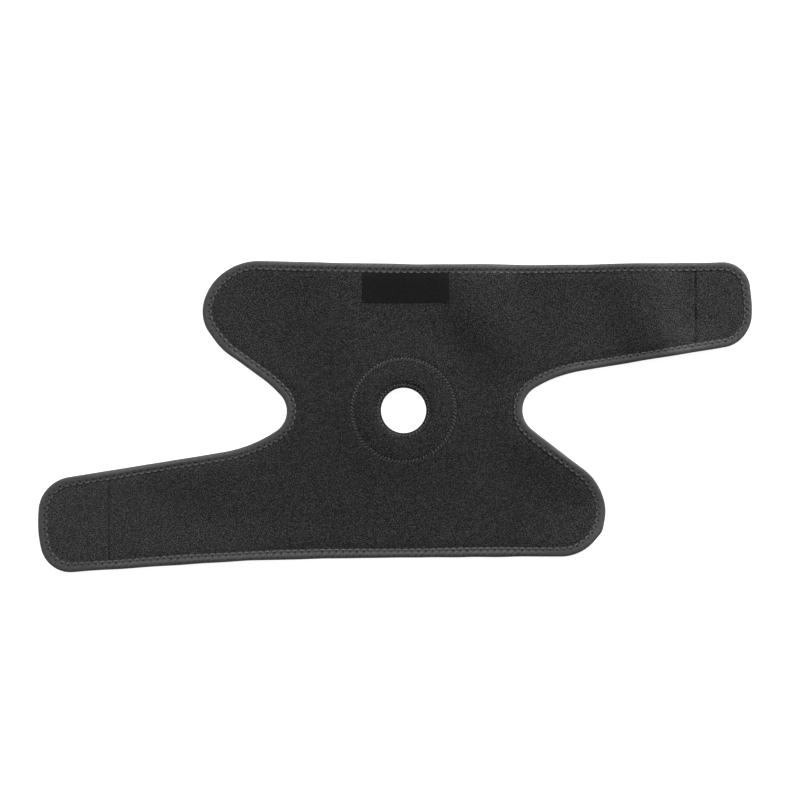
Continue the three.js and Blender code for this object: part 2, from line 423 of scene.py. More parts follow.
def loop_fabric():
    material, tree, shader, at = new_material("brushed nylon loop fabric", 0.95, CLOTH_SHINE)
    turned = add(tree, "ShaderNodeMapping", {"Vector": at.outputs["Object"], "Rotation": NOISE_TURN})
    grain = add(tree, "ShaderNodeTexNoise", {
        "Vector": turned.outputs["Vector"], "Scale": 1 / (GRAIN * MM), "Detail": 0.0})
    colour = add(tree, "ShaderNodeValToRGB", {"Fac": grain.outputs["Fac"]},
                 stops=[(0.34, "#0f0f0f"), (0.5, "#1e1e1e"), (0.68, "#383838")])
    shade = dye_and_painted_light(tree, at, colour.outputs["Color"])
    bump = add(tree, "ShaderNodeBump", {
        "Height": grain.outputs["Fac"], "Strength": 0.6, "Distance": 0.6 * MM})
    # Painted shade darkens the needle holes and the tab seams' grooves.
    join(tree, shader, {"Base Color": with_painted_shade(tree, shade, "#070707"), "Normal": bump.outputs["Normal"]})
    return material


face_fabric = loop_fabric()
print("made", face_fabric.name)

# %% [markdown]
# Under the foam is a nylon jersey lining, a knit whose ribs and courses cross, so two wave textures
# multiplied give it. A real jersey's rows are about half a millimetre apart, too fine to show, so they
# are drawn at about twice that. The cut edge at the hole shows the closed-cell foam itself, nearly black
# and finely pitted.

# %% Nylon jersey and foam
RIB = 1.1
PIT = 0.7


def jersey_lining():
    material, tree, shader, at = new_material("nylon jersey lining", 0.8, CLOTH_SHINE)
    ribs = add(tree, "ShaderNodeTexWave", {
        "Vector": at.outputs["Object"], "Scale": WAVE / (RIB * MM), "Distortion": 1.5, "Detail": 1.0,
        "Detail Scale": 3.0}, bands_direction="X")
    courses = add(tree, "ShaderNodeTexWave", {
        "Vector": at.outputs["Object"], "Scale": WAVE / (RIB * MM), "Distortion": 1.0}, bands_direction="Y")
    knit = add(tree, "ShaderNodeMath", {
        0: ribs.outputs["Fac"], 1: courses.outputs["Fac"]}, operation="MULTIPLY").outputs["Value"]
    colour = add(tree, "ShaderNodeValToRGB", {"Fac": knit}, stops=[(0.0, "#1b1b1b"), (1.0, "#363636")])
    bump = add(tree, "ShaderNodeBump", {"Height": knit, "Strength": 0.5, "Distance": 0.3 * MM})
    join(tree, shader, {"Base Color": colour.outputs["Color"], "Normal": bump.outputs["Normal"]})
    return material


def cut_foam():
    material, tree, shader, at = new_material("closed-cell neoprene foam", 0.85, CLOTH_SHINE)
    pits = add(tree, "ShaderNodeTexVoronoi", {
        "Vector": at.outputs["Object"], "Scale": 1 / (PIT * MM)}).outputs["Distance"]
    colour = add(tree, "ShaderNodeValToRGB", {"Fac": pits}, stops=[(0.0, "#121212"), (0.6, "#292929")])
    bump = add(tree, "ShaderNodeBump", {"Height": pits, "Strength": 0.5, "Distance": 0.2 * MM})
    join(tree, shader, {"Base Color": colour.outputs["Color"], "Normal": bump.outputs["Normal"]})
    return material


lining = jersey_lining()
foam = cut_foam()
print("made", lining.name, "and", foam.name)

# %% [markdown]
# The panel is one laminated sheet, cut to the outline. It could be a plane with a thickness added, but
# sewing squeezes it: it thins under the tape, along the seams and at both stitched circles. So a field of
# points is triangulated inside the cut, closer together where the sewing is, and its two faces get
# heights of their own.

# %% Fill a cut with triangles
ALL_TRIANGLES = 0
AT_ONCE = 4000
SAME_POINT = 1e-5


def within(points, loops):
    """Which points lie inside the loops, counting the edges to the right of each point."""
    crossed = np.zeros(len(points), int)
    starts = np.vstack(loops)
    ends = np.vstack([np.roll(line, -1, 0) for line in loops])
    run = ends - starts
    slope = run[:, 0] / np.where(run[:, 1] == 0, 1, run[:, 1])
    for first in range(0, len(points), AT_ONCE):
        x, y = points[first:first + AT_ONCE].T[:, :, None]
        spans = (starts[:, 1] > y) != (ends[:, 1] > y)
        crossing = starts[:, 0] + (y - starts[:, 1]) * slope
        crossed[first:first + AT_ONCE] = (spans & (crossing > x)).sum(1)
    return crossed % 2 == 1


def triangulated(loops, inner):
    """Points and triangles that fill the first loop but not the others."""
    places = [Vector(point) for line in [*loops, inner] for point in line.tolist()]
    edges = []
    for line in loops:
        first = edges[-1][0] + 1 if edges else 0
        edges += [(first + i, first + (i + 1) % len(line)) for i in range(len(line))]
    flat, _, faces, *_ = delaunay_2d_cdt(places, edges, [], ALL_TRIANGLES, SAME_POINT, False)
    flat = np.array([tuple(point) for point in flat])
    faces = np.array(faces)
    return flat, faces[within(flat[faces].mean(1), loops)].tolist()


def border_of(faces):
    """The edges that only one face uses, each in that face's own direction."""
    uses = {}
    for face in faces:
        for a, b in zip(face, face[1:] + face[:1]):
            uses.setdefault(frozenset((a, b)), []).append((a, b))
    return [pairs[0] for pairs in uses.values() if len(pairs) == 1]


def lattice(spacing, low, high):
    """Points in rows, each row half a step along from the last."""
    rows = np.arange(low[1], high[1], spacing * np.sqrt(3) / 2)
    columns = np.arange(low[0], high[0], spacing)
    x, y = np.meshgrid(columns, rows)
    x[1::2] += spacing / 2
    return np.column_stack([x.ravel(), y.ravel()])


print("triangle filler ready")

# %% [markdown]
# The filled cut becomes a closed sheet: the same triangles twice, at two heights, with a wall of three
# rows of faces round every edge. The wall may bulge a little, as cut foam does. A Solidify modifier would
# be shorter, but its second face follows the first, and here the two are shaped apart.

# %% A cut sheet with two faces
CUT_ANGLE = radians(50)
WALL_ROWS = (2 / 3, 1 / 3)  # heights of the wall's two inner rows, as shares of its height


def cut_sheet(name, loops, inner, top, bottom, materials, bulge=0.0):
    """A closed sheet with heights from two functions. Its materials are for the face, underside and wall."""
    flat, faces = triangulated(loops, inner)
    border = border_of(faces)
    count = len(flat)
    high = top(*flat.T)
    low = bottom(*flat.T)
    outward = np.zeros((count, 2))
    for a, b in border:
        along = flat[b] - flat[a]
        outward[[a, b]] += np.array([along[1], -along[0]]) / np.linalg.norm(along)
    on_edge = np.array(sorted({a for a, _ in border}))
    wall_at = {int(vertex): 2 * count + number for number, vertex in enumerate(on_edge)}
    wall = flat[on_edge] + unit(outward[on_edge]) * bulge
    rows = [np.column_stack([wall, (low + (high - low) * share)[on_edge]]) for share in WALL_ROWS]
    points = np.vstack([np.column_stack([flat, high]), np.column_stack([flat, low]), *rows])
    polygons = [tuple(face) for face in faces]
    polygons += [tuple(vertex + count for vertex in reversed(face)) for face in faces]
    slots = [0] * len(faces) + [1] * len(faces)
    for pair in border:
        columns = [(v, wall_at[v], wall_at[v] + len(on_edge), v + count) for v in pair]
        for upper in range(len(WALL_ROWS) + 1):
            here, there = [column[upper:upper + 2] for column in columns]
            polygons.append((there[0], here[0], here[1], there[1]))
            slots.append(2)
    mesh = plain_mesh(name, points, polygons, materials, np.minimum(slots, len(materials) - 1))
    if not bulge:
        mesh.set_sharp_from_angle(angle=CUT_ANGLE)
    return put_in_scene(name, mesh)


def flat_cut(line):
    """Width, length and area in metres of a cut, from its outline in millimetres."""
    x, y = line.T
    area = abs(np.sum(x * np.roll(y, -1) - np.roll(x, -1) * y)) / 2
    return tuple(np.ptp(line, axis=0) * MM), area * MM * MM


print("sheet cutter ready")

# %% [markdown]
# The points of the panel. An even lattice fills the plain cloth. Rings of points round the hole and
# columns of points along the tab seams are closer together, because the grooves and needle holes there
# are small.

# %% Field of points for the panel
PANEL_INSET = 2.6
FIELD_STEP = 1.9
EDGE_ROOM = 0.7  # room that the lattice leaves, in its own steps
RING_ROOM = 0.6
SEAM_ROOM = 0.5
RING_STEP = 1.1
RING_REACH = 47.0
RING_ROW = 0.9  # distance between rings, in steps along them
RING_TWIST = 0.37  # turn from ring to ring, in radians to a millimetre
STITCH_CIRCLES = [  # radius, width of the zigzag, stitches round it, groove depth
    (20.5, 2.2, 46, 0.4),
    (41.0, 3.0, 90, 0.25),
]
SEWN_REACH = 2.4
SEWN_STEP = 0.55
SEAM_COLUMNS = np.array([-2.6, -1.7, -1.0, -0.5, 0.0, 0.5, 1.0, 1.7, 2.6])
SEAM_ROW = 1.2
HOLE_SIDES = 210


def circle(radius, count, start=0.0):
    angles = start + 2 * pi * np.arange(count) / count
    return HOLE + radius * np.column_stack([np.cos(angles), np.sin(angles)])


def panel_points():
    field = lattice(FIELD_STEP, rim.min(0), rim.max(0))
    clear = depth_inside(field) > PANEL_INSET + FIELD_STEP * EDGE_ROOM
    clear &= from_hole(*field.T) > RING_REACH + FIELD_STEP * RING_ROOM
    for seam in (LEFT_SEAM, RIGHT_SEAM):
        clear &= np.abs(field[:, 0] - seam) > SEAM_COLUMNS[-1] + FIELD_STEP * SEAM_ROOM
    parts = [field[clear]]
    radius = HOLE_RADIUS
    while radius < RING_REACH - RING_STEP:
        sewn = min(abs(radius - row[0]) for row in STITCH_CIRCLES) < SEWN_REACH
        step = SEWN_STEP if sewn else RING_STEP
        radius += step * RING_ROW
        parts.append(circle(radius, round(2 * pi * radius / step), start=radius * RING_TWIST))
    rows = np.arange(rim[:, 1].min(), rim[:, 1].max(), SEAM_ROW)
    for seam in (LEFT_SEAM, RIGHT_SEAM):
        x, y = np.meshgrid(seam + SEAM_COLUMNS, rows)
        columns = np.column_stack([x.ravel(), y.ravel()])
        parts.append(columns[depth_inside(columns) > PANEL_INSET + SEAM_ROW])
    return np.vstack(parts)


panel_field = panel_points()
panel_rim = evenly(rim + rim_inward * PANEL_INSET, int(rim_length / FIELD_STEP))
hole_rim = circle(HOLE_RADIUS, HOLE_SIDES)
print("panel field:", len(panel_field), "points")

# %% [markdown]
# Sewing leaves its mark on thick cloth. Each row of stitches lies in a groove, each needle hole is a
# small pit, and the seams of the tabs waver and pull tighter in places. They are all smooth dips about
# the lines that the thread will follow later, so the two always agree.

# %% Marks of the sewing
GROOVE_SPREAD = 0.6  # width of a groove, as a share of its zigzag
NEEDLE_DIP = 0.5
NEEDLE_REACH = 0.65
SEAM_GROOVES = [(LEFT_SEAM, 0.4), (RIGHT_SEAM, 0.9)]  # x, depth
SEAM_GROOVE_WIDTH = 0.7
SEAM_REACH = 5 * SEAM_GROOVE_WIDTH
SEAM_PATCH = (0.8, 11.0)  # share tighter or looser, length of a patch
SEAM_WAVE = (0.45, 3.5)  # waver to each side, period


def slow_noise(points, wave_length, level=0.0):
    return np.array([noise.noise(Vector((x, y, level)) / wave_length) for x, y in points.tolist()])


def needle_holes(x, y):
    """One at each needle hole of the stitched circles, falling to nothing beside it."""
    away = from_hole(x, y)
    turns = heading_from_hole(x, y) / (2 * pi)
    marks = np.zeros_like(away)
    for radius, width, count, _ in STITCH_CIRCLES:
        for side, shift in ((1, 0.0), (-1, 0.5)):
            phase = (turns * count + shift + 0.5) % 1 - 0.5
            across = away - radius - side * width / 2
            marks = marks + hump(np.hypot(phase * 2 * pi * radius / count, across), NEEDLE_REACH)
    return marks


def seam_groove(x, y):
    """Depth of the grooves that the tab seams press, which waver a little from stitch to stitch."""
    wave, period = SEAM_WAVE
    waver = wave * np.sin(2 * pi * y / period)
    patch, patch_length = SEAM_PATCH
    total = np.zeros_like(x)
    for seam, groove in SEAM_GROOVES:
        near = np.abs(x - seam) < SEAM_REACH
        tight = 1 + patch * slow_noise(np.column_stack([np.full_like(y[near], seam), y[near]]), patch_length)
        total[near] = tight * groove * hump(x[near] - seam - waver[near] * groove, SEAM_GROOVE_WIDTH)
    return total


def sewing_dip(x, y):
    """How far the stitching draws the face down."""
    away = from_hole(x, y)
    dip = NEEDLE_DIP * needle_holes(x, y)
    for radius, width, _, groove in STITCH_CIRCLES:
        dip = dip + groove * hump(away - radius, width * GROOVE_SPREAD)
    return dip + seam_groove(x, y)


print("needle holes round the hole:", sum(2 * row[2] for row in STITCH_CIRCLES))

# %% [markdown]
# Now the panel itself. Its face is pinched towards the tape, and the cut edge of the hole is drawn in and
# rounded by the stitching that runs round it. A slow ripple keeps the sheet from looking ironed. The
# underside shows about a third of the sewing's dips and half of the ripple, because the foam takes up the
# rest.

# %% Panel
PINCH = 0.35
PINCH_RANGE = (TAPE_WIDTH - 0.4, TAPE_WIDTH + 4.6)  # depths where the pinch is full and where it ends
HOLE_ROLL = (HOLE_RADIUS, HOLE_RADIUS + 2.2)  # radii where the hole's rounded edge begins and ends
ROLL_DOWN = 1.1
ROLL_UP = 0.5
RIPPLES = [(38.0, 0.2), (11.0, 0.03)]  # size, height
UNDER_DIP = 0.3
UNDER_RIPPLE = 0.5
CUT_BULGE = 0.4


def ripple(x, y):
    places = np.column_stack([x, y])
    return sum(height * slow_noise(places, size) for size, height in RIPPLES)


def face_height(x, y):
    """Height of the panel's upper face."""
    inside = depth_inside(np.column_stack([x, y]))
    pinch = PINCH * (1 - rising(inside, *PINCH_RANGE))
    roll = ROLL_DOWN * (1 - rising(from_hole(x, y), *HOLE_ROLL))
    return lie(x, y) + PANEL_THICK - pinch - roll - sewing_dip(x, y) + ripple(x, y)


def underside_height(x, y):
    roll = ROLL_UP * (1 - rising(from_hole(x, y), *HOLE_ROLL))
    return lie(x, y) + roll + UNDER_DIP * sewing_dip(x, y) + UNDER_RIPPLE * ripple(x, y)


panel = cut_sheet("panel_cloth", [panel_rim, hole_rim], panel_field, face_height, underside_height,
                  (face_fabric, lining, foam), CUT_BULGE)
print("panel:", triangles_in(panel), "triangles")

# %% [markdown]
# The binding is a knitted stretch tape, folded over the raw edge. To the eye it is a smooth mid grey with
# a faint rib. Its knit runs along and across the tape, not along x and y, so its material reads a map of
# the tape's own. The wales are drawn a little coarser than real ones, which would be too fine to show.

# %% Knitted nylon tape
WALE = 0.75
FUZZ = 2.0


def knitted_tape():
    material, tree, shader, at = new_material("knitted nylon tape", 0.6, 0.25)
    wales = add(tree, "ShaderNodeTexWave", {
        "Vector": at.outputs["UV"], "Scale": WAVE / WALE, "Distortion": 0.6, "Detail": 1.0},
        bands_direction="Y")
    courses = add(tree, "ShaderNodeTexWave", {
        "Vector": at.outputs["UV"], "Scale": WAVE / WALE, "Distortion": 1.2, "Detail": 1.0},
        bands_direction="X")
    knit = add(tree, "ShaderNodeMath", {
        0: wales.outputs["Fac"], 1: courses.outputs["Fac"]}, operation="MULTIPLY").outputs["Value"]
    fuzz = add(tree, "ShaderNodeTexNoise", {
        "Vector": at.outputs["Object"], "Scale": 1 / (FUZZ * MM), "Detail": 3.0})
    mixed = add(tree, "ShaderNodeMath", {0: knit, 1: fuzz.outputs["Fac"]}, operation="ADD")
    colour = add(tree, "ShaderNodeValToRGB", {"Fac": mixed.outputs["Value"]},
                 stops=[(0.3, "#262626"), (0.75, "#383838"), (1.0, "#494949")])
    bump = add(tree, "ShaderNodeBump", {"Height": knit, "Strength": 0.4, "Distance": 0.2 * MM})
    # Painted shade in the needle holes and notches, and where the tape is taut.
    dark = with_painted_shade(tree, colour.outputs["Color"], "#060606")
    join(tree, shader, {"Base Color": dark, "Normal": bump.outputs["Normal"]})
    return material


tape_fabric = knitted_tape()
print("made", tape_fabric.name)

# %% [markdown]
# A zigzag sews the tape down. The needle goes through the tape, then just off its inner edge, turn by
# turn. The stitches are counted first, shorter round the bays, where the cloth was turned under the
# needle. The tape then gets the same number of stations in every stitch, so that a stitch is always in
# step with its own dimple.

# %% Count the stitches
STITCH = 5.5
BAY_STITCH = 4.6
BAY_RADIUS = 60.0
BAY_BLUR = 60  # points of the rim
STITCH_STEPS = 10
NEEDLE_OUT = 4.9
NEEDLE_IN = 6.6
rim_turn = np.gradient(np.unwrap(np.arctan2(rim_heading[:, 1], rim_heading[:, 0]))) / RIM_STEP


def smoothed(values, count):
    """A running mean round the closed rim."""
    three_rounds = np.convolve(np.tile(values, 3), np.ones(count) / count, "same")
    return three_rounds[len(rim):-len(rim)]


def stitch_run():
    """Stitches sewn by each point of the rim."""
    bay = ease(smoothed(-rim_turn, BAY_BLUR) * BAY_RADIUS)
    pitch = STITCH + (BAY_STITCH - STITCH) * bay
    seam = run_of(rim + rim_inward * NEEDLE_OUT)
    return np.concatenate([[0], np.cumsum(np.diff(seam) / pitch)])


sewn_run = stitch_run()
stitches = round(sewn_run[-1])
stations = stitches * STITCH_STEPS


def at_stations(values):
    """Values known at the rim's points, taken at the tape's stations."""
    return evenly(values, stations, sewn_run)


tape_edge = at_stations(rim)
tape_inward = unit(at_stations(rim_inward))
tape_step = np.linalg.norm(np.roll(tape_edge, -1, 0) - tape_edge, axis=1)
seat = tape_edge + tape_inward * TAPE_WIDTH / 2
tape_base = lie(*seat.T) + UNDER_RIPPLE * ripple(*seat.T)
print(stitches, "stitches round the edge,", stations, "stations")

# %% [markdown]
# The tape isn't the same all round. It is narrower on the right strap, because it was fed deeper over the
# rest of the edge. Where the edge curves, and along that strap, it is pulled tight and lies flatter, and
# there it is painted darker with shade. Both are worked out from the rim, and they change slowly, so no
# step shows.

# %% Width and tension of the tape
FACE_WIDTH = 7.0
FED_DEEPER = 0.35
NARROWED = 0.95
RIGHT_STRAP = ((40.0, 200.0), (-10.0, 30.0))  # x and y between which the right strap begins
WIDTH_WAVE = (0.5, 60.0)  # to each side, wave length
WIDTH_LEVEL = 40.0  # keeps the widths from following the ripple
ROLLED = 1.0  # the first millimetre keeps its size
TAUT_RADIUS = 78.0
TAUT_BLUR = 120  # points of the rim
STRAP_TAUT = 0.6

right_strap = rising(rim[:, 0], *RIGHT_STRAP[0]) * rising(rim[:, 1], *RIGHT_STRAP[1])
face_width = FACE_WIDTH + FED_DEEPER - NARROWED * right_strap
face_width = face_width + WIDTH_WAVE[0] * slow_noise(rim, WIDTH_WAVE[1], WIDTH_LEVEL)
rim_curving = ease(smoothed(np.abs(rim_turn), TAUT_BLUR) * TAUT_RADIUS)
tape_stretch = (at_stations(face_width[:, None]) - ROLLED) / (FACE_WIDTH - ROLLED)
tape_curving = at_stations(rim_curving[:, None])
tape_taut = np.maximum(tape_curving, STRAP_TAUT * at_stations(right_strap[:, None]))


def across_tape(depth):
    """Depth on the brace for a depth on the tape, which is stretched to the width it has there."""
    return np.where(depth > ROLLED, ROLLED + (depth - ROLLED) * tape_stretch, depth)


print("tape on the face:", round(face_width.min(), 1), "to", round(face_width.max(), 1), "mm wide")

# %% [markdown]
# No two stitches pull alike. A seeded generator draws how hard each one pulls, how far its needle strays
# and how deep its bight sinks. Each stitch pulls a dimple into the tape and a notch into its edge, and on
# the two long edges and round the right strap's end the slack between them stands in slanting puckers.

# %% Pull of the stitches
STITCH_PULL = (0.6, 1.3)
NEEDLE_STRAY = 0.16
BIGHT_SINK = 0.2
DIMPLE = (0.6, 0.65)  # depth, reach
NOTCH = (0.35, 1.0)  # depth, reach
PUCKERS = [(1, 0.36), (2, 0.36)]  # puckers to a stitch, height
PUCKER_PATCH = (0.8, 0.9, 24.0)  # how much is puckered, how much that varies, length of a patch
PUCKER_SLANT = 0.3
LONG_EDGES = (95.0, 110.0)  # distances from the middle line where the puckers begin and are full
STRAP_END = (225.0, 250.0)  # x where they begin and are full
STRAP_END_SHARE = 0.3
CROWN = ((0.0, 1.2), (3.4, 5.0))  # depths between which a pucker rises and falls

draws = np.random.default_rng(5)
stitch_strength = draws.uniform(*STITCH_PULL, stitches)
stitch_stray = draws.normal(0.0, NEEDLE_STRAY, stitches)
bight_sink = draws.uniform(0.0, BIGHT_SINK, stitches)

phase = ((np.arange(stations) % STITCH_STEPS) / STITCH_STEPS)[:, None]
pitch = (tape_step * STITCH_STEPS)[:, None]
from_stitch = np.minimum(phase, 1 - phase) * pitch
from_bight = pitch / 2 - from_stitch
stitch_at = (np.arange(stations) + STITCH_STEPS // 2) // STITCH_STEPS % stitches
strength = stitch_strength[stitch_at][:, None]
needle_depth = NEEDLE_OUT + stitch_stray[stitch_at][:, None]


def stitch_pull(depth):
    """How far the stitches draw the tape down at each station and depth."""
    pull = DIMPLE[0] * strength * hump(np.hypot(from_stitch, depth - needle_depth), DIMPLE[1])
    return pull + NOTCH[0] * hump(np.hypot(from_bight, depth - NEEDLE_IN), NOTCH[1])


def puckers(depth):
    """Slanting hollows between the puckers of the long edges and of the right strap's end."""
    mean, varies, patch_length = PUCKER_PATCH
    long_edge = rising(np.abs(tape_edge[:, 1]), *LONG_EDGES) * (1 - tape_curving[:, 0])
    where = np.maximum(long_edge, STRAP_END_SHARE * rising(tape_edge[:, 0], *STRAP_END))
    where = where * ease(mean + varies * slow_noise(tape_edge, patch_length))
    rise, fall = CROWN
    crown = rising(depth, *rise) * (1 - rising(depth, *fall))
    slant = phase + PUCKER_SLANT * (NEEDLE_OUT - depth) / 2
    waves = sum(height * np.cos(2 * pi * count * slant) for count, height in PUCKERS)
    return strength * where[:, None] * crown * waves


print("strongest stitch pulls", round(stitch_strength.max(), 2), "times the set depth")

# %% [markdown]
# The tape could be a curve with a bevel, but then it couldn't be dented stitch by stitch. So its section
# is swept round the edge as a grid of points, and each point is pulled down or moved by the stitches near
# it, and painted with shade at their needle holes and notches. The outer edge wavers a little, and at one
# place on the lower lobe it has a crease.

# %% Sweep the tape
TAPE_FACE = [  # depth in from the edge, height above the panel's underside
    (6.8, 3.02), (7.05, 3.16), (7.1, 3.36), (7.0, 3.55), (6.7, 3.71), (6.2, 3.79), (5.6, 3.8),
    (4.95, 3.77), (4.45, 3.88), (4.0, 4.06), (3.5, 4.26), (2.9, 4.42), (2.3, 4.42), (1.75, 4.3),
    (1.25, 4.08), (0.85, 3.82), (0.45, 3.42), (0.12, 2.88), (-0.15, 2.2), (-0.25, 1.5),
]
TAPE_UNDER = [  # the same, underneath
    (-0.1, 0.6), (0.55, -0.3), (1.7, -0.85), (2.9, -1.0), (4.4, -1.0), (5.8, -0.85), (7.0, -0.8),
    (7.5, -0.5), (7.3, -0.2),
]
TAPE_LINING = [(4.0, -0.15), (1.3, 1.6), (4.0, 3.05)]  # the same, against the panel
UNDER_TURN = 3  # points where the tape is still turning under
UNDER_PULL = 0.3
CROWN_FROM = 3.78
FLATTENED = 0.65
# Painted shade: in the needle holes, under the notched inner edge, and where the tape is taut.
NEEDLE_SHADE_REACH = 0.9
LIP_SHADE = (0.75, 1.3)  # darkness, reach
TAUT_PAINTED_SHADE = 0.2
LIP_FROM = 6.3
SCALLOP = (0.16, 1.2)  # depth, width
EDGE_WAVE = (0.45, 26.0)  # to each side, wave length
EDGE_REACH = 4.4
CREASE = (165.3, -92.0, 0.95, 7.0)  # x, y, how far it stands out, reach

tape_section = np.array(TAPE_FACE + TAPE_UNDER + TAPE_LINING)


def edge_waver():
    """How far in the outer edge lies at each station, less than zero where it stands out."""
    wave, wave_length = EDGE_WAVE
    x, y, stands_out, reach = CREASE
    from_crease = np.hypot(tape_edge[:, 0] - x, tape_edge[:, 1] - y)
    return wave * slow_noise(tape_edge, wave_length) - stands_out * np.clip(1 - from_crease / reach, 0, 1)


def sweep_tape():
    """Points of the tape, station by station, and the shade painted on each: in needle holes, notches and
    taut stretches.
    """
    row = np.arange(len(tape_section)) - len(TAPE_FACE)
    on_face = (row < 0) & (row > -len(TAPE_FACE))
    below = (row >= UNDER_TURN) & (row < len(TAPE_UNDER) - 1)
    depth = np.tile(tape_section[:, 0], (stations, 1))
    pull = stitch_pull(depth) + puckers(depth)
    marks = strength * hump(np.hypot(from_stitch, depth - needle_depth), NEEDLE_SHADE_REACH)
    flatter = tape_taut * FLATTENED * np.clip(tape_section[:, 1] - CROWN_FROM, 0, None)
    height = tape_section[:, 1] - flatter - np.where(on_face, pull, 0)
    height = height + np.where(below, UNDER_PULL * pull, 0)
    scallop = SCALLOP[0] * (1 - 2 * hump(from_bight, SCALLOP[1]))
    depth = depth + np.where(tape_section[:, 0] > LIP_FROM, scallop, 0)
    marks = marks + LIP_SHADE[0] * hump(np.hypot(from_bight, depth - NEEDLE_IN), LIP_SHADE[1])
    marks = np.where(on_face, np.clip(marks + TAUT_PAINTED_SHADE * tape_taut, 0, 1), 0)
    depth = np.where(on_face, across_tape(depth), depth)
    depth = depth + edge_waver()[:, None] * (1 - rising(depth, 0.0, EDGE_REACH))
    places = tape_edge[:, None] + tape_inward[:, None] * depth[..., None]
    return np.concatenate([places, (tape_base[:, None] + height)[..., None]], axis=2), marks


def ring_faces(rows, columns):
    """Faces of a grid that wraps both ways."""
    i, j = np.meshgrid(np.arange(rows), np.arange(columns), indexing="ij")
    k = (i + 1) % rows
    m = (j + 1) % columns
    corners = [i * columns + j, i * columns + m, k * columns + m, k * columns + j]
    return np.stack(corners, axis=-1).reshape(-1, 4)


tape_points, tape_painted_shade = sweep_tape()
tape_faces = ring_faces(stations, len(tape_section))
binding = mesh_piece("edge_tape", tape_points.reshape(-1, 3), tape_faces, [tape_fabric])
mark_points(binding, "painted_shade", tape_painted_shade)
print("binding:", triangles_in(binding), "triangles")

# %% [markdown]
# A map tells the knit which way the tape runs. Unwrapping by hand would do for a short strip. Here every
# corner of the grid already knows its station and its place in the section, so the map is just the
# distance along and the distance across. The last row and column run on instead of jumping back to
# nothing.

# %% Map the tape along and across
def map_tape():
    """Along the tape and across it in millimetres, so that the knit keeps its size."""
    columns = len(tape_section)
    closed = np.vstack([tape_section, tape_section[:1]])
    across = np.concatenate([[0], np.cumsum(np.linalg.norm(np.diff(closed, axis=0), axis=1))])
    along = np.concatenate([[0], np.cumsum(tape_step)])
    corners = np.empty(len(binding.data.loops), np.int32)
    binding.data.loops.foreach_get("vertex_index", corners)
    row = corners // columns
    column = corners % columns
    face = np.repeat(np.arange(len(binding.data.polygons)), 4)
    row = np.where((row == 0) & (face // columns == stations - 1), stations, row)
    column = np.where((column == 0) & (face % columns == columns - 1), columns, column)
    layer = binding.data.uv_layers.new(name="tape")
    layer.data.foreach_set("uv", np.column_stack([along[row], across[column]]).ravel().astype(np.float32))


map_tape()
print("tape mapped:", round(tape_step.sum()), "mm along")

# %% [markdown]
# Sewing thread is twisted polyester, smoother and a little glossier than the cloth. Four greys are used:
# pale grey on the circles, black on the tab seams, and the tape's one thread in two copies: painted
# lighter on its bights, as lit, and painted darker with shade on its legs and underneath it.

# %% Polyester sewing thread
TWIST = 0.5


def sewing_thread(name, dark, light):
    material, tree, shader, at = new_material(name, 0.5, 0.3)
    twist = add(tree, "ShaderNodeTexNoise", {
        "Vector": at.outputs["Object"], "Scale": 1 / (TWIST * MM), "Detail": 2.0}).outputs["Fac"]
    colour = add(tree, "ShaderNodeValToRGB", {"Fac": twist}, stops=[(0.35, dark), (0.65, light)])
    bump = add(tree, "ShaderNodeBump", {"Height": twist, "Strength": 0.3, "Distance": 0.1 * MM})
    join(tree, shader, {"Base Color": colour.outputs["Color"], "Normal": bump.outputs["Normal"]})
    return material


pale_thread = sewing_thread("pale grey polyester thread", "#3e3e3e", "#646464")
# One tape thread in two copies: painted light for the bights, painted shade for the legs and underneath.
lit_tape_thread = sewing_thread("polyester tape thread, painted light", "#4a4a4a", "#6c6c6c")
shaded_tape_thread = sewing_thread("polyester tape thread, painted shade", "#333333", "#4a4a4a")
black_thread = sewing_thread("black polyester thread", "#0a0a0a", "#181818")
print("made", pale_thread.name, lit_tape_thread.name, shaded_tape_thread.name, black_thread.name)

# %% [markdown]
# Stitches repeat along a path, which is what Geometry Nodes are for. The path has a point at each half
# stitch, every other point steps to the far side, and the points between are lifted so that the thread
# arches over the cloth. A small circle swept along that line makes the thread. One tree sews the tape,
# the circles and the tabs.

# %% Zigzag stitch tree
ARCH_CUTS = 3
ARCH_STEPS = ARCH_CUTS + 1.0
THREAD_SIDES = 5


def new_tree(name, inputs, output):
    """A node tree with named inputs, its input node's sockets, and one geometry output."""
    tree = bpy.data.node_groups.new(name, "GeometryNodeTree")
    for label, kind in inputs:
        tree.interface.new_socket(label, in_out="INPUT", socket_type="NodeSocket" + kind)
    tree.interface.new_socket(output, in_out="OUTPUT", socket_type="NodeSocketGeometry")
    return tree, add(tree, "NodeGroupInput").outputs


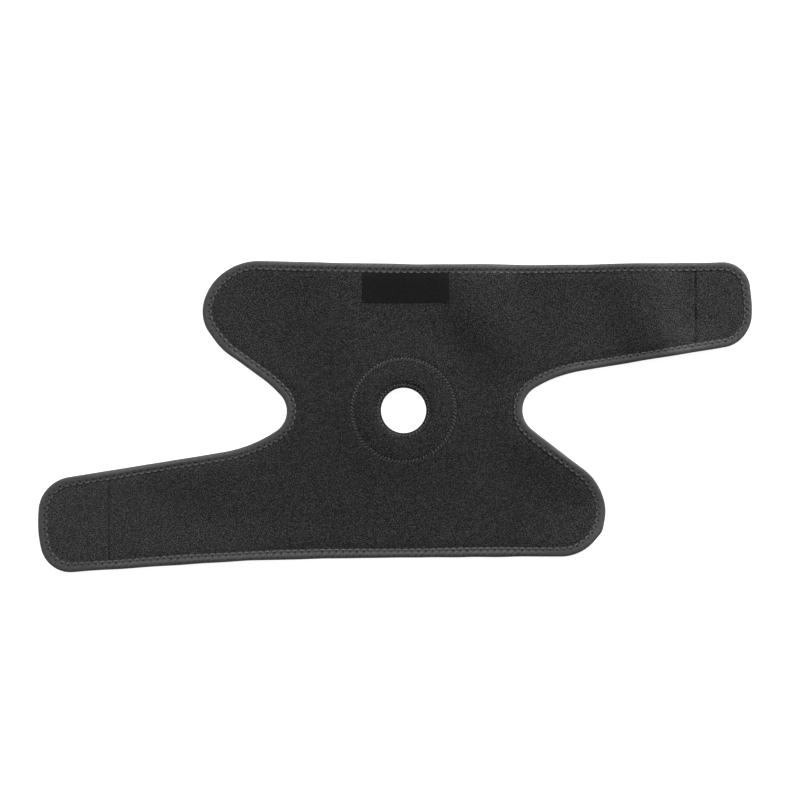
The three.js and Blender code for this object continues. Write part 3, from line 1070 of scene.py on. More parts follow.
def zigzag_tree():
    tree, given = new_tree("zigzag stitches", [
        ("Path", "Geometry"), ("Width", "Float"), ("Drop", "Float"), ("Lift", "Float"),
        ("Back lift", "Float"), ("Thread radius", "Float"), ("Thread", "Material")], "Stitches")
    path = add(tree, "GeometryNodeMeshToCurve", {"Mesh": given["Path"]})
    index = add(tree, "GeometryNodeInputIndex").outputs[0]
    far = add(tree, "ShaderNodeMath", {0: index, 1: 2.0}, operation="MODULO").outputs[0]
    shift = add(tree, "ShaderNodeMath", {0: far, 1: 0.5}, operation="SUBTRACT").outputs[0]
    reach = add(tree, "ShaderNodeMath", {0: shift, 1: given["Width"]}, operation="MULTIPLY").outputs[0]
    heading = add(tree, "GeometryNodeInputTangent").outputs[0]
    side = add(tree, "ShaderNodeVectorMath", {
        0: (0, 0, 1), 1: heading}, operation="CROSS_PRODUCT").outputs[0]
    across = add(tree, "ShaderNodeVectorMath", {0: side, "Scale": reach}, operation="SCALE").outputs[0]
    fall = add(tree, "ShaderNodeMath", {0: far, 1: given["Drop"]}, operation="MULTIPLY").outputs[0]
    down = add(tree, "ShaderNodeCombineXYZ", {"Z": fall}).outputs[0]
    move = add(tree, "ShaderNodeVectorMath", {0: across, 1: down}, operation="SUBTRACT").outputs[0]
    zigzag = add(tree, "GeometryNodeSetPosition", {"Geometry": path.outputs[0], "Offset": move})
    finer = add(tree, "GeometryNodeSubdivideCurve", {"Curve": zigzag.outputs[0], "Cuts": ARCH_CUTS})
    step = add(tree, "ShaderNodeMath", {0: index, 1: ARCH_STEPS}, operation="MODULO").outputs[0]
    angle = add(tree, "ShaderNodeMath", {0: step, 1: pi / ARCH_STEPS}, operation="MULTIPLY").outputs[0]
    arch = add(tree, "ShaderNodeMath", {0: angle}, operation="SINE").outputs[0]
    share = add(tree, "ShaderNodeMath", {0: index, 1: ARCH_STEPS}, operation="DIVIDE").outputs[0]
    leg = add(tree, "ShaderNodeMath", {0: share}, operation="FLOOR").outputs[0]
    back = add(tree, "ShaderNodeMath", {0: leg, 1: 2.0}, operation="MODULO").outputs[0]
    height = add(tree, "ShaderNodeMix", {"Factor": back, 2: given["Lift"], 3: given["Back lift"]}).outputs[0]
    rise = add(tree, "ShaderNodeMath", {0: arch, 1: height}, operation="MULTIPLY").outputs[0]
    up = add(tree, "ShaderNodeCombineXYZ", {"Z": rise}).outputs[0]
    arched = add(tree, "GeometryNodeSetPosition", {"Geometry": finer.outputs[0], "Offset": up})
    round_section = add(tree, "GeometryNodeCurvePrimitiveCircle", {
        "Resolution": THREAD_SIDES, "Radius": given["Thread radius"]})
    thread = add(tree, "GeometryNodeCurveToMesh", {
        "Curve": arched.outputs[0], "Profile Curve": round_section.outputs[0], "Fill Caps": True})
    soft = add(tree, "GeometryNodeSetShadeSmooth", {"Geometry": thread.outputs[0]})
    real = add(tree, "GeometryNodeRealizeInstances", {"Geometry": soft.outputs[0]})
    finished = add(tree, "GeometryNodeSetMaterial", {
        "Geometry": real.outputs[0], "Material": given["Thread"]})
    add(tree, "NodeGroupOutput", {"Stitches": finished.outputs[0]})
    return tree


zigzag = zigzag_tree()
print("made the tree", zigzag.name, "with", len(zigzag.nodes), "nodes")

# %% [markdown]
# A tree works on an object through a modifier. Its inputs are set by their identifiers before anything is
# evaluated, the result is copied to a plain mesh, and the modifier is taken away again, so that nothing
# live is left on the piece.

# %% Run a tree, and sew
def run_tree(name, start, tree, **values):
    """Runs a node tree on an object and gives its result as a plain mesh object."""
    modifier = start.modifiers.new(tree.name, "NODES")
    modifier.node_group = tree
    sockets = {item.name: item.identifier for item in tree.interface.items_tree if item.in_out == "INPUT"}
    for key, value in values.items():
        modifier[sockets[key.replace("_", " ")]] = value
    graph = bpy.context.evaluated_depsgraph_get()
    mesh = bpy.data.meshes.new_from_object(start.evaluated_get(graph), depsgraph=graph)
    start.modifiers.remove(modifier)
    mesh.name = name
    return put_in_scene(name, mesh)


def path_object(points, closed=True):
    """A line of edges for a tree to follow, from points in millimetres."""
    mesh = bpy.data.meshes.new("path")
    count = len(points)
    edges = [(i, (i + 1) % count) for i in range(count if closed else count - 1)]
    mesh.from_pydata((points * MM).tolist(), edges, [])
    return put_in_scene("path", mesh)


def sew(name, points, width, drop, arches, radius, thread, closed=True):
    """A row of zigzag stitches. The arches are the lift of the thread on its way out and on its way back."""
    path = path_object(points, closed)
    lift, back_lift = arches
    made = run_tree(name, path, zigzag, Width=width * MM, Drop=drop * MM, Lift=lift * MM,
                    Back_lift=back_lift * MM, Thread_radius=radius * MM, Thread=thread)
    bpy.data.objects.remove(path)
    print(name, triangles_in(made), "triangles")
    return made


print("needle threaded")

# %% [markdown]
# First the tape. Of each stitch two things show: legs that sink into the tape, and a bight that stands
# along its inner edge and catches the light. They are two rows of the same stitch, and a third row lies
# underneath. The legs and the row underneath get the thread's copy painted with shade, and the bights its
# copy painted with light.

# %% Sew the tape
TAPE_THREAD = 0.2
LEG_HEIGHT = 2.76
LEG_DROP = 0.1
LEG_ARCHES = (1.15, 1.15)
BIGHT_THREAD = 0.22
BIGHT_INSET = 0.2
BIGHT_HEIGHT = 3.55
BIGHT_WIDTH = 0.25
BIGHT_ARCHES = (0.42, -0.5)
BIGHT_SHIFT = STITCH_STEPS * 3 // 4
UNDER_HEIGHT = -0.6
UNDER_ARCHES = (-0.3, -0.3)
HALF_STITCH = STITCH_STEPS // 2


def tape_line(depth, height, shift=0):
    """A point at each half stitch along the tape."""
    places = tape_edge + tape_inward * across_tape(np.full((stations, 1), depth))
    line = np.column_stack([places, tape_base + height])
    return np.roll(line, -shift, 0)[::HALF_STITCH]


def sew_tape():
    width = NEEDLE_IN - NEEDLE_OUT
    middle = (NEEDLE_IN + NEEDLE_OUT) / 2
    legs = tape_line(middle, LEG_HEIGHT)
    bights = tape_line(NEEDLE_IN - BIGHT_INSET, BIGHT_HEIGHT, BIGHT_SHIFT)
    bights[:, 2] -= np.repeat(bight_sink, 2)
    under = np.column_stack([tape_edge + tape_inward * middle, tape_base + UNDER_HEIGHT])[::HALF_STITCH]
    return [
        sew("tape_legs", legs, width, LEG_DROP, LEG_ARCHES, TAPE_THREAD, shaded_tape_thread),
        sew("tape_bights", bights, BIGHT_WIDTH, 0.0, BIGHT_ARCHES, BIGHT_THREAD, lit_tape_thread),
        sew("tape_stitches_under", under, width, -LEG_DROP, UNDER_ARCHES, TAPE_THREAD, shaded_tape_thread),
    ]


threads = sew_tape()
print(len(threads), "rows on the tape")

# %% [markdown]
# Two circles of zigzag hold the pad, and a narrow row of black stitches holds each tab. The circles'
# thread is seen best at the top. Away from there it sinks into the pile, so the line is lowered by a
# cosine of the heading.

# %% Sew the circles and the tabs
CIRCLE_THREAD = 0.18
CIRCLE_SUNK = (110.0, 0.2)  # heading of the highest stitches in degrees, how far the lowest sink
CIRCLE_ARCHES = (0.45, -0.1)
CIRCLE_UNDER_ARCHES = (-0.25, -0.25)
THREAD_CLEAR = 0.05
TAB_SEAMS = [("left", LEFT_SEAM, 1.1, 0.5), ("right", RIGHT_SEAM, 1.2, 1.0)]  # name, x, half stitch, width
TAB_SEAM_ARCHES = (0.12, 0.12)
TAB_SEAM_FROM = TAPE_WIDTH - 1.0  # depth where the seam comes out from under the tape


def sew_circles():
    made = []
    heading, sunk = CIRCLE_SUNK
    for name, (radius, width, count, _) in zip(("inner", "outer"), STITCH_CIRCLES):
        line = circle(radius, 2 * count)
        turned = heading_from_hole(*line.T) - radians(heading)
        face = np.column_stack([line, face_height(*line.T) - sunk * (1 - np.cos(turned)) / 2])
        under = np.column_stack([line, underside_height(*line.T) + THREAD_CLEAR])
        for side, path, arches in (("face", face, CIRCLE_ARCHES), ("under", under, CIRCLE_UNDER_ARCHES)):
            made.append(sew(f"{name}_circle_{side}", path, width, 0.0, arches, CIRCLE_THREAD, pale_thread))
    return made


def sew_tabs():
    made = []
    for name, seam, step, width in TAB_SEAMS:
        rows = np.arange(rim[:, 1].min(), rim[:, 1].max(), step)
        line = np.column_stack([np.full_like(rows, seam), rows])
        line = line[depth_inside(line) > TAB_SEAM_FROM]
        face = np.column_stack([line, face_height(*line.T) + THREAD_CLEAR])
        made.append(sew(f"{name}_tab_seam", face, width, 0.0, TAB_SEAM_ARCHES, TAPE_THREAD, black_thread,
                        closed=False))
    return made


threads += sew_circles() + sew_tabs()
print(len(threads), "rows of stitches in all")

# %% [markdown]
# The label is a strip of woven satin, caught under the tape along its upper edge. It is left bare. To the
# eye satin is a smooth, nearly black face with a fine weave, so its shine is low and its threads are
# drawn a little coarser than they are.

# %% Woven satin
SATIN_THREAD = 0.45
SATIN_SLUB = 1.1
SATIN_WEAVE = 0.3


def satin():
    material, tree, shader, at = new_material("woven satin label", 0.45, 0.1)
    weave = add(tree, "ShaderNodeTexWave", {
        "Vector": at.outputs["Object"], "Scale": WAVE / (SATIN_THREAD * MM), "Distortion": 0.4},
        bands_direction="Y")
    slub = add(tree, "ShaderNodeTexNoise", {
        "Vector": at.outputs["Object"], "Scale": 1 / (SATIN_SLUB * MM), "Detail": 1.0})
    woven = add(tree, "ShaderNodeMath", {
        0: weave.outputs["Fac"], 1: SATIN_WEAVE, 2: slub.outputs["Fac"]},
        operation="MULTIPLY_ADD").outputs[0]
    colour = add(tree, "ShaderNodeValToRGB", {"Fac": woven}, stops=[(0.4, "#080808"), (0.95, "#171717")])
    bump = add(tree, "ShaderNodeBump", {"Height": woven, "Strength": 0.3, "Distance": 0.1 * MM})
    join(tree, shader, {"Base Color": colour.outputs["Color"], "Normal": bump.outputs["Normal"]})
    return material


label_fabric = satin()
print("made", label_fabric.name)

# %% [markdown]
# A thin sheet that follows the panel's face is enough for the label's shape. Its lower corners are
# square, and its upper edge keeps to the brace's own edge, a little way under the tape.

# %% Label
LABEL_MIDDLE = 8.6
LABEL_WIDTH = 69.0
LABEL_LOW = 90.6
LABEL_TUCK = 1.3
LABEL_THICK = 0.3
LABEL_CLEAR = 0.12
LABEL_STEP = 1.5


def label_top(x):
    """Where the label ends under the tape."""
    upper = rim[rim[:, 1] > LABEL_LOW]
    order = np.argsort(upper[:, 0])
    return np.interp(x, upper[order, 0], upper[order, 1]) - TAPE_WIDTH + LABEL_TUCK


def label_at(x, share):
    """A place on the label, from its lower edge to where it ends under the tape."""
    return x, LABEL_LOW + share * (label_top(x) - LABEL_LOW)


def label_under(x, y):
    return face_height(x, y) + LABEL_CLEAR


def label_over(x, y):
    return label_under(x, y) + LABEL_THICK


def label_sheet():
    left = LABEL_MIDDLE - LABEL_WIDTH / 2
    right = LABEL_MIDDLE + LABEL_WIDTH / 2
    across = np.linspace(left, right, round(LABEL_WIDTH / LABEL_STEP))
    up = np.linspace(0, 1, round((label_top(LABEL_MIDDLE) - LABEL_LOW) / LABEL_STEP))
    outline = [label_at(x, 0) for x in across]
    outline += [label_at(right, share) for share in up[1:-1]]
    outline += [label_at(x, 1) for x in across[::-1]]
    outline += [label_at(left, share) for share in up[-2:0:-1]]
    inner = [label_at(x, share) for x in across[1:-1] for share in up[1:-1]]
    outline = np.array(outline)
    sheet = cut_sheet("label_satin", [outline], np.array(inner), label_over, label_under, (label_fabric,))
    return sheet, outline


label, label_cut = label_sheet()
print("label:", triangles_in(label), "triangles, cut", flat_cut(label_cut))

# %% [markdown]
# The pad is a ring of soft felt, sewn under the panel between the two stitched circles. It presses round
# the kneecap. To the eye felt is a dull mat of tangled fibres, so a distorted noise with much detail
# colours it.

# %% Needled polyester felt
FIBRE = 1.0


def pad_felt():
    material, tree, shader, at = new_material("needled polyester felt", 0.95, CLOTH_SHINE)
    fibres = add(tree, "ShaderNodeTexNoise", {
        "Vector": at.outputs["Object"], "Scale": 1 / (FIBRE * MM), "Detail": 5.0,
        "Distortion": 1.0}).outputs["Fac"]
    colour = add(tree, "ShaderNodeValToRGB", {"Fac": fibres}, stops=[(0.3, "#1d1d1d"), (0.7, "#3d3d3d")])
    bump = add(tree, "ShaderNodeBump", {"Height": fibres, "Strength": 0.5, "Distance": 0.4 * MM})
    join(tree, shader, {"Base Color": colour.outputs["Color"], "Normal": bump.outputs["Normal"]})
    return material


felt = pad_felt()
print("made", felt.name)

# %% [markdown]
# The pad's face is flat where the brace rests on it, and it thins to a flange under each row of stitches.
# Cloth under pressure would swell into a round ring. A profile turned about the hole's centre keeps the
# flat face and the flanges, and a wave round both edges gives them small puckers.

# %% Pad
PAD_SIDES = 214
PAD_GAP = 0.25
PAD_THINNEST = 0.25
PAD_FACE = [  # radius, height of the face that rests
    (19.3, 2.35), (20.2, 2.2), (21.2, 1.9), (21.9, 1.35), (22.5, 0.75), (23.3, 0.3), (24.4, 0.08),
    (25.8, 0.0), (28.0, 0.0), (31.0, 0.0), (34.0, 0.0), (36.2, 0.0),
    (37.6, 0.08), (38.7, 0.3), (39.5, 0.75), (40.1, 1.4), (40.9, 2.1), (41.8, 2.5), (42.8, 2.6),
]
PAD_PUCKER = 0.14
PUCKER_SIDES = 4  # sides of the turned ring to one pucker
PUCKER_RADII = (21.4, 40.3)
PUCKER_WIDTH = 1.0


def turned_pad():
    radius, rest = np.array(PAD_FACE).T
    sewn = sum(hump(radius - middle, PUCKER_WIDTH) for middle in PUCKER_RADII)
    rings = []
    for angle in 2 * pi * np.arange(PAD_SIDES) / PAD_SIDES:
        x = HOLE[0] + radius * np.cos(angle)
        y = HOLE[1] + radius * np.sin(angle)
        back = underside_height(x, y) - PAD_GAP
        wave = PAD_PUCKER * np.cos(angle * PAD_SIDES / PUCKER_SIDES)
        face = np.minimum(rest + wave * sewn, back - PAD_THINNEST)
        rings.append(np.column_stack([x, y, face]))
        rings.append(np.column_stack([x, y, back])[::-1])
    return mesh_piece("pad_ring", np.vstack(rings), ring_faces(PAD_SIDES, 2 * len(radius)), [felt])


pad = turned_pad()
print("pad:", triangles_in(pad), "triangles")

# %% [markdown]
# Hook tape is a stiff woven strip that stands full of small nylon hooks. A tab of it is sewn under each
# strap end, hooks down. Moulded nylon is smooth and a little glossy. Real hooks are finer than these,
# which are drawn as coarse as they need to show. One hook is a bent square tube of only 22 faces, because
# more than a thousand are needed.

# %% One nylon hook
HOOK_LINE = [(0.0, -0.1), (0.0, -0.4), (0.12, -0.72), (0.38, -0.85), (0.58, -0.7), (0.6, -0.5)]  # x, z
HOOK_RADIUS = 0.13
HOOK_SIDES = 4
HOOK_GRAIN = 0.8


def hook_nylon():
    material, tree, shader, at = new_material("moulded nylon hooks", 0.4, 0.5)
    grain = add(tree, "ShaderNodeTexNoise", {
        "Vector": at.outputs["Object"], "Scale": 1 / (HOOK_GRAIN * MM), "Detail": 2.0})
    colour = add(tree, "ShaderNodeValToRGB", {"Fac": grain.outputs["Fac"]},
                 stops=[(0.3, "#101010"), (0.7, "#202020")])
    join(tree, shader, {"Base Color": colour.outputs["Color"]})
    return material


def one_hook():
    """A square tube along the hook's line, closed at both ends."""
    line = np.array(HOOK_LINE)
    along = unit(np.gradient(line, axis=0))
    points = []
    for (x, z), (run_x, run_z) in zip(line, along):
        points += [(x - run_z * HOOK_RADIUS, 0, z + run_x * HOOK_RADIUS), (x, HOOK_RADIUS, z),
                   (x + run_z * HOOK_RADIUS, 0, z - run_x * HOOK_RADIUS), (x, -HOOK_RADIUS, z)]
    faces = []
    for ring in range(len(line) - 1):
        for side in range(HOOK_SIDES):
            here = ring * HOOK_SIDES + side
            beside = ring * HOOK_SIDES + (side + 1) % HOOK_SIDES
            faces.append((here, beside, beside + HOOK_SIDES, here + HOOK_SIDES))
    last = len(points) - HOOK_SIDES
    faces += [(3, 2, 1, 0), (last, last + 1, last + 2, last + 3)]
    return mesh_piece("one_hook", points, faces)


hook_material = hook_nylon()
hook_shape = one_hook()
print("one hook:", triangles_in(hook_shape), "triangles")

# %% [markdown]
# A second tree puts the hook on every point that it is given, turned by the way that point faces. The
# points come from a grid, with every other row half a step along and facing back, as on real hook tape.

# %% Hook field tree
def hook_tree():
    tree, given = new_tree("hook field", [
        ("Places", "Geometry"), ("Hook", "Object"), ("Nylon", "Material")], "Hooks")
    hook = add(tree, "GeometryNodeObjectInfo", {"Object": given["Hook"]})
    facing = add(tree, "GeometryNodeInputNamedAttribute", {"Name": "facing"}, data_type="FLOAT")
    turn = add(tree, "ShaderNodeCombineXYZ", {"Z": facing.outputs["Attribute"]}).outputs[0]
    placed = add(tree, "GeometryNodeInstanceOnPoints", {
        "Points": given["Places"], "Instance": hook.outputs["Geometry"], "Rotation": turn})
    real = add(tree, "GeometryNodeRealizeInstances", {"Geometry": placed.outputs[0]})
    finished = add(tree, "GeometryNodeSetMaterial", {
        "Geometry": real.outputs[0], "Material": given["Nylon"]})
    add(tree, "NodeGroupOutput", {"Hooks": finished.outputs[0]})
    return tree


hook_field = hook_tree()
print("made the tree", hook_field.name)

# %% [markdown]
# The backing of each tab is cut like the panel, to the shape of the strap's end inside the tape. It
# follows the panel's underside at a small distance, and the hooks stand on its lower side.

# %% Hook tabs
TAB_GAP = 0.35
TAB_THICK = 0.65
TAB_EDGE = TAPE_WIDTH + 0.4  # depth of the tab's edge, just inside the tape
TAB_ALLOWANCE = 1.5
TAB_STEP = 2.5
TAB_ROOM = 1.0
RIM_SKIP = 4  # points of the rim to one of the tab's edge
HOOK_PITCH = (1.6, 2.0)  # along a row, from row to row
HOOK_ROOM = 1.2
HOOK_FROM_SEAM = 1.5


def tab_back(x, y):
    return lie(x, y) - TAB_GAP


def tab_front(x, y):
    return tab_back(x, y) - TAB_THICK


def tab_outline(start, side):
    """The strap's end inside the tape, closed by a straight edge near the seam."""
    line = rim + rim_inward * TAB_EDGE
    line = line[(line[:, 0] - start) * side > 0][::RIM_SKIP]
    steps = round(np.linalg.norm(line[0] - line[-1]) / TAB_STEP)
    closing = line[-1] + (line[0] - line[-1]) * np.arange(1, steps)[:, None] / steps
    return np.vstack([line, closing])


def tab_points(start, side, low, high):
    field = lattice(TAB_STEP, low, high)
    inside = depth_inside(field) > TAB_EDGE + TAB_ROOM
    inside &= (field[:, 0] - start) * side > TAB_ROOM
    return field[inside]


def hook_spots(seam, side, low, high):
    """Where the hooks stand, and which way each one faces."""
    along, between = HOOK_PITCH
    x, y = np.meshgrid(np.arange(low[0], high[0], along), np.arange(low[1], high[1], between))
    facing = np.zeros_like(x)
    facing[1::2] = pi
    x[1::2] += along / 2
    spots = np.column_stack([x.ravel(), y.ravel()])
    clear = depth_inside(spots) > TAB_EDGE + HOOK_ROOM
    clear &= (spots[:, 0] - seam) * side > HOOK_FROM_SEAM
    return spots[clear], facing.ravel()[clear]


def hook_tab(name, seam, side):
    start = seam - side * TAB_ALLOWANCE
    outline = tab_outline(start, side)
    low = outline.min(0)
    high = outline.max(0)
    field = tab_points(start, side, low, high)
    backing = cut_sheet(f"{name}_tape", [outline], field, tab_back, tab_front, (hook_material,))
    spots, facing = hook_spots(seam, side, low, high)
    places = path_object(np.column_stack([spots, tab_front(*spots.T)]), closed=False)
    mark_points(places, "facing", facing)
    hooks = run_tree(f"{name}_hooks", places, hook_field, Hook=hook_shape, Nylon=hook_material)
    bpy.data.objects.remove(places)
    total = triangles_in(backing) + triangles_in(hooks)
    print(name, len(spots), "hooks,", total, "triangles, cut", flat_cut(outline))
    return backing, hooks, outline


left_tab, left_hooks, left_cut = hook_tab("left_hook", LEFT_SEAM, -1)
right_tab, right_hooks, right_cut = hook_tab("right_hook", RIGHT_SEAM, 1)
bpy.data.objects.remove(hook_shape)

# %% [markdown]
# Brushing pulls the face yarn up into small loops, and they are what the hooks hold. To the eye they are
# soft specks a shade paler than the cloth. Hair particles could make them, but an export to plain meshes
# would lose them. Real loops are far finer than can be drawn one by one, so each tuft here stands for a
# few of them: a bent spindle.

# %% Crimped yarn and one tuft
YARN_TINT = 0.8
TUFT_HALF = 0.52
TUFT_WAIST = 0.4  # half length of the middle, as a share of the tuft's
TUFT_RADIUS = 0.15
TUFT_RISE = 0.4
TUFT_ROOT = 0.12


def loop_yarn():
    material, tree, shader, at = new_material("crimped nylon yarn", 0.8, CLOTH_SHINE)
    turned = add(tree, "ShaderNodeMapping", {"Vector": at.outputs["Object"], "Rotation": NOISE_TURN})
    tint = add(tree, "ShaderNodeTexNoise", {
        "Vector": turned.outputs["Vector"], "Scale": 1 / (YARN_TINT * MM), "Detail": 0.0})
    colour = add(tree, "ShaderNodeValToRGB", {"Fac": tint.outputs["Fac"]},
                 stops=[(0.3, "#1c1c1c"), (0.7, "#404040")])
    # The tufts get the same painted light towards the strap ends.
    join(tree, shader, {"Base Color": dye_and_painted_light(tree, at, colour.outputs["Color"])})
    return material


def one_tuft():
    """A bent spindle with a three-sided middle."""
    angles = 2 * pi * np.arange(3) / 3
    points = [(-TUFT_HALF, 0, -TUFT_ROOT)]
    for x in (-TUFT_WAIST * TUFT_HALF, TUFT_WAIST * TUFT_HALF):
        points += [(x, TUFT_RADIUS * np.cos(a), TUFT_RISE + TUFT_RADIUS * np.sin(a)) for a in angles]
    points.append((TUFT_HALF, 0, -TUFT_ROOT))
    faces = []
    for i in range(3):
        j = (i + 1) % 3
        faces += [(0, 1 + j, 1 + i), (1 + i, 1 + j, 4 + j), (1 + i, 4 + j, 4 + i), (4 + i, 4 + j, 7)]
    return mesh_piece("one_tuft", points, faces)


yarn = loop_yarn()
tuft_shape = one_tuft()
print("made", yarn.name, "and a tuft of", triangles_in(tuft_shape), "triangles")

# %% [markdown]
# A third tree scatters the tufts over the face with a fixed seed, never closer than their spacing, each
# turned and sized at random. Where they may stand is a value that it reads from the cloth's own points.

# %% Loop pile tree
TUFT_SIZES = (0.6, 1.25)
SIZE_SEED = 7
TUFTS_TO_A_MM2 = 4


def pile_tree():
    tree, given = new_tree("loop pile", [
        ("Cloth", "Geometry"), ("Tuft", "Object"), ("Spacing", "Float"), ("Low x", "Float"),
        ("High x", "Float"), ("Seed", "Int"), ("Yarn", "Material")], "Pile")
    position = add(tree, "GeometryNodeInputPosition").outputs[0]
    x = add(tree, "ShaderNodeSeparateXYZ", {0: position}).outputs["X"]
    past = add(tree, "ShaderNodeMath", {0: x, 1: given["Low x"]}, operation="GREATER_THAN").outputs[0]
    short = add(tree, "ShaderNodeMath", {0: x, 1: given["High x"]}, operation="LESS_THAN").outputs[0]
    cover = add(tree, "GeometryNodeInputNamedAttribute", {"Name": "pile"}, data_type="FLOAT")
    part = add(tree, "ShaderNodeMath", {0: past, 1: short}, operation="MULTIPLY").outputs[0]
    share = add(tree, "ShaderNodeMath", {0: part, 1: cover.outputs["Attribute"]}, operation="MULTIPLY")
    points = add(tree, "GeometryNodeDistributePointsOnFaces", {
        "Mesh": given["Cloth"], "Distance Min": given["Spacing"], "Density Max": TUFTS_TO_A_MM2 / (MM * MM),
        "Density Factor": share.outputs[0], "Seed": given["Seed"]}, distribute_method="POISSON")
    spin = add(tree, "FunctionNodeRandomValue", {
        2: 0.0, 3: 2 * pi, "Seed": given["Seed"]}, data_type="FLOAT")
    size = add(tree, "FunctionNodeRandomValue", {
        2: TUFT_SIZES[0], 3: TUFT_SIZES[1], "Seed": SIZE_SEED}, data_type="FLOAT")
    angles = add(tree, "ShaderNodeCombineXYZ", {"Z": spin.outputs[1]}).outputs[0]
    about = add(tree, "FunctionNodeEulerToRotation", {0: angles}).outputs[0]
    turn = add(tree, "FunctionNodeRotateRotation", {
        "Rotation": points.outputs["Rotation"], "Rotate By": about}, rotation_space="LOCAL").outputs[0]
    tuft = add(tree, "GeometryNodeObjectInfo", {"Object": given["Tuft"]})
    tufts = add(tree, "GeometryNodeInstanceOnPoints", {
        "Points": points.outputs["Points"], "Instance": tuft.outputs["Geometry"], "Rotation": turn,
        "Scale": size.outputs[1]})
    real = add(tree, "GeometryNodeRealizeInstances", {"Geometry": tufts.outputs[0]})
    finished = add(tree, "GeometryNodeSetMaterial", {
        "Geometry": real.outputs[0], "Material": given["Yarn"]})
    add(tree, "NodeGroupOutput", {"Pile": finished.outputs[0]})
    return tree


loop_pile = pile_tree()
print("made the tree", loop_pile.name)

# %% [markdown]
# Loops stand clear of the tape, the label and the stitching, so the panel's points are marked before the
# pile grows. The same pass marks the painted shade in the needle holes and along the seam grooves.

# %% Grow the pile
TUFT_SPACING = 1.2
CLEAR_OF_TAPE = 0.9
CLEAR_OF_SEAM = 1.2
CLEAR_OF_LABEL = 0.6
# Painted shade along the tab seams' grooves, as a share of the groove's depth.
SEAM_SHADE = 0.9
PILE_CUTS = (-285.0, -70.0, 80.0, 285.0)  # x where the pile is parted, so that no part grows too large


def mark_panel():
    """Marks where loops stand, and the painted shade in the needle holes and the tab seams' grooves."""
    places = np.empty(len(panel.data.vertices) * 3)
    panel.data.vertices.foreach_get("co", places)
    x, y, z = places.reshape(-1, 3).T / MM
    away = from_hole(x, y)
    flat = np.column_stack([x, y])
    cover = z > lie(x, y) + PANEL_THICK / 2
    cover &= depth_inside(flat) > face_width[nearest_rim(flat)] + CLEAR_OF_TAPE
    cover &= away > STITCH_CIRCLES[0][0]
    for radius, width, _, _ in STITCH_CIRCLES:
        cover &= np.abs(away - radius) > width / 2
    for seam, _ in SEAM_GROOVES:
        cover &= np.abs(x - seam) > CLEAR_OF_SEAM
    beside_label = np.abs(x - LABEL_MIDDLE) > LABEL_WIDTH / 2 + CLEAR_OF_LABEL
    cover &= beside_label | (y < LABEL_LOW - CLEAR_OF_LABEL)
    mark_points(panel, "painted_shade", np.clip(needle_holes(x, y) + SEAM_SHADE * seam_groove(x, y), 0, 1))
    mark_points(panel, "pile", cover)


mark_panel()
pile = []
for part, (low_x, high_x) in enumerate(zip(PILE_CUTS, PILE_CUTS[1:]), start=1):
    pile.append(run_tree(f"loop_pile_{part}", panel, loop_pile, Tuft=tuft_shape, Spacing=TUFT_SPACING * MM,
                         Low_x=low_x * MM, High_x=high_x * MM, Seed=part, Yarn=yarn))
    print(pile[-1].name, triangles_in(pile[-1]), "triangles")
bpy.data.objects.remove(tuft_shape)

# %% [markdown]
# The brace is seen from straight above, so the camera looks straight down. A long lens from far off keeps
# the edges from leaning. Its height follows from the width that the picture has to take in.

# %% Camera
FRAME_WIDTH = 640.0
FRAME_CENTRE = (4.1, 12.8)
FRAME_HEIGHT = 2.5
LENS = 110.0
SENSOR = 36.0
camera_data = bpy.data.cameras.new("camera")
camera_data.lens = LENS
camera_data.sensor_width = SENSOR
camera = put_in_scene("camera", camera_data)
camera.location = Vector((*FRAME_CENTRE, FRAME_HEIGHT + FRAME_WIDTH * LENS / SENSOR)) * MM
bpy.context.scene.camera = camera
print("camera", round(camera.location.z, 2), "m up")

# %% [markdown]
# The brace lies on a plain white table that glows, as an opal light table does, so that shadows on it
# stay faint. A large soft light on the label's side makes the folds and the rolled edge read, and a weak
# one from the left fills the dark sides.

# %% Floor and light
FLOOR_SIZE = 6.0
FLOOR_GAP = 0.05
FLOOR_GRAIN = 4.0
TABLE_GLOW = 0.9
SKY = 0.28
WHITE = (1, 1, 1, 1)
LIGHTS = [  # name, place in metres, size in metres, power in watts
    ("key", (1.26, 1.62, 1.05), 1.1, 114.0),
    ("fill", (-1.3, 0.5, 0.9), 1.0, 17.0),
]


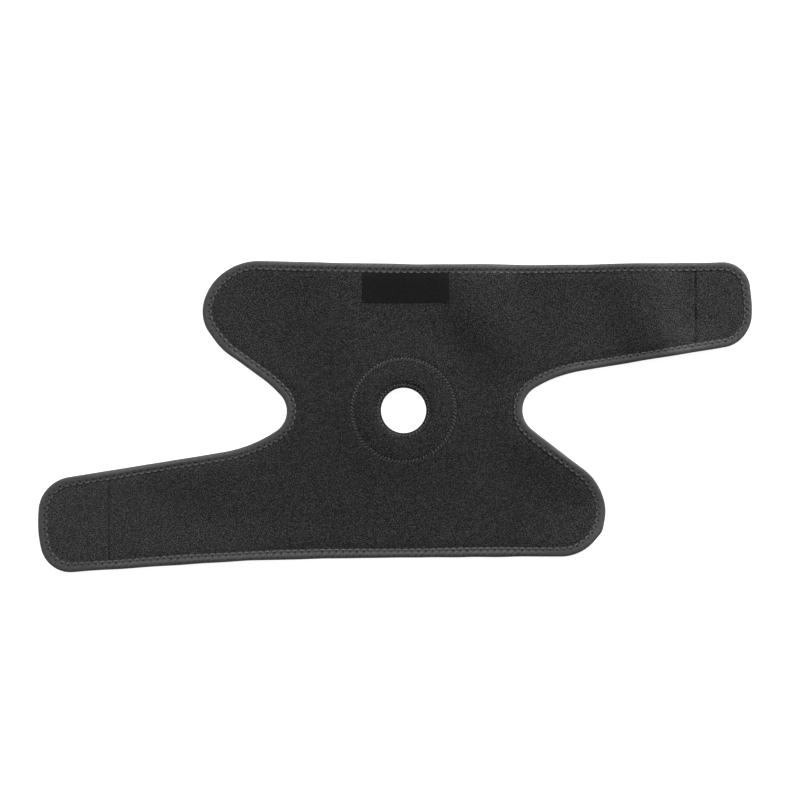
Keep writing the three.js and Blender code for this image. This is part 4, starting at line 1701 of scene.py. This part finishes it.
def white_floor():
    material, tree, shader, at = new_material("opal light table", 0.9, 0.1)
    grain = add(tree, "ShaderNodeTexNoise", {
        "Vector": at.outputs["Object"], "Scale": 1 / (FLOOR_GRAIN * MM)})
    colour = add(tree, "ShaderNodeValToRGB", {"Fac": grain.outputs["Fac"]},
                 stops=[(0.0, "#a8a8a8"), (1.0, "#acacac")])
    join(tree, shader, {
        "Base Color": colour.outputs["Color"], "Emission Color": WHITE, "Emission Strength": TABLE_GLOW})
    half = FLOOR_SIZE / MM / 2
    corners = [(x, y, -FLOOR_GAP) for x, y in ((-half, -half), (half, -half), (half, half), (-half, half))]
    return mesh_piece("floor", corners, [(0, 1, 2, 3)], [material])


def soft_light(name, place, size, power):
    data = bpy.data.lights.new(name, "AREA")
    data.shape = "SQUARE"
    data.size = size
    data.energy = power
    made = put_in_scene(name, data)
    made.location = place
    made.rotation_euler = (-Vector(place)).to_track_quat("-Z", "Y").to_euler()


floor = white_floor()
for row in LIGHTS:
    soft_light(*row)
world = bpy.data.worlds.new("studio")
world.use_nodes = True
join(world.node_tree, world.node_tree.nodes["Background"], {"Color": WHITE, "Strength": SKY})
bpy.context.scene.world = world
bpy.context.scene.view_settings.view_transform = "Standard"
print("floor and", len(LIGHTS), "lights ready")

# %% [markdown]
# Last, every piece is tied to the frame: the solid that it stands in for is hidden, and the root body
# carries it and the pieces that are sewn to it.

# %% Ride and replace
STANDS_FOR = [  # piece, node, finish
    (panel, "panel", "loop_fabric"),
    (binding, "edge_binding", "binding_tape"),
    (pad, "patella_pad", "pad_felt"),
    (left_tab, "hook_tab_left", "hook_tape"),
    (right_tab, "hook_tab_right", "hook_tape"),
    (label, "label", "label_satin"),
]
SEWN_ON = [  # pieces, finish
    (threads, "binding_tape"),
    (pile, "loop_fabric"),
    ([left_hooks, right_hooks], "hook_tape"),
]
for piece, node, finish in STANDS_FOR:
    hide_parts(node)
    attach(piece, "root")
for pieces, finish in SEWN_ON:
    for piece in pieces:
        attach(piece, "root")
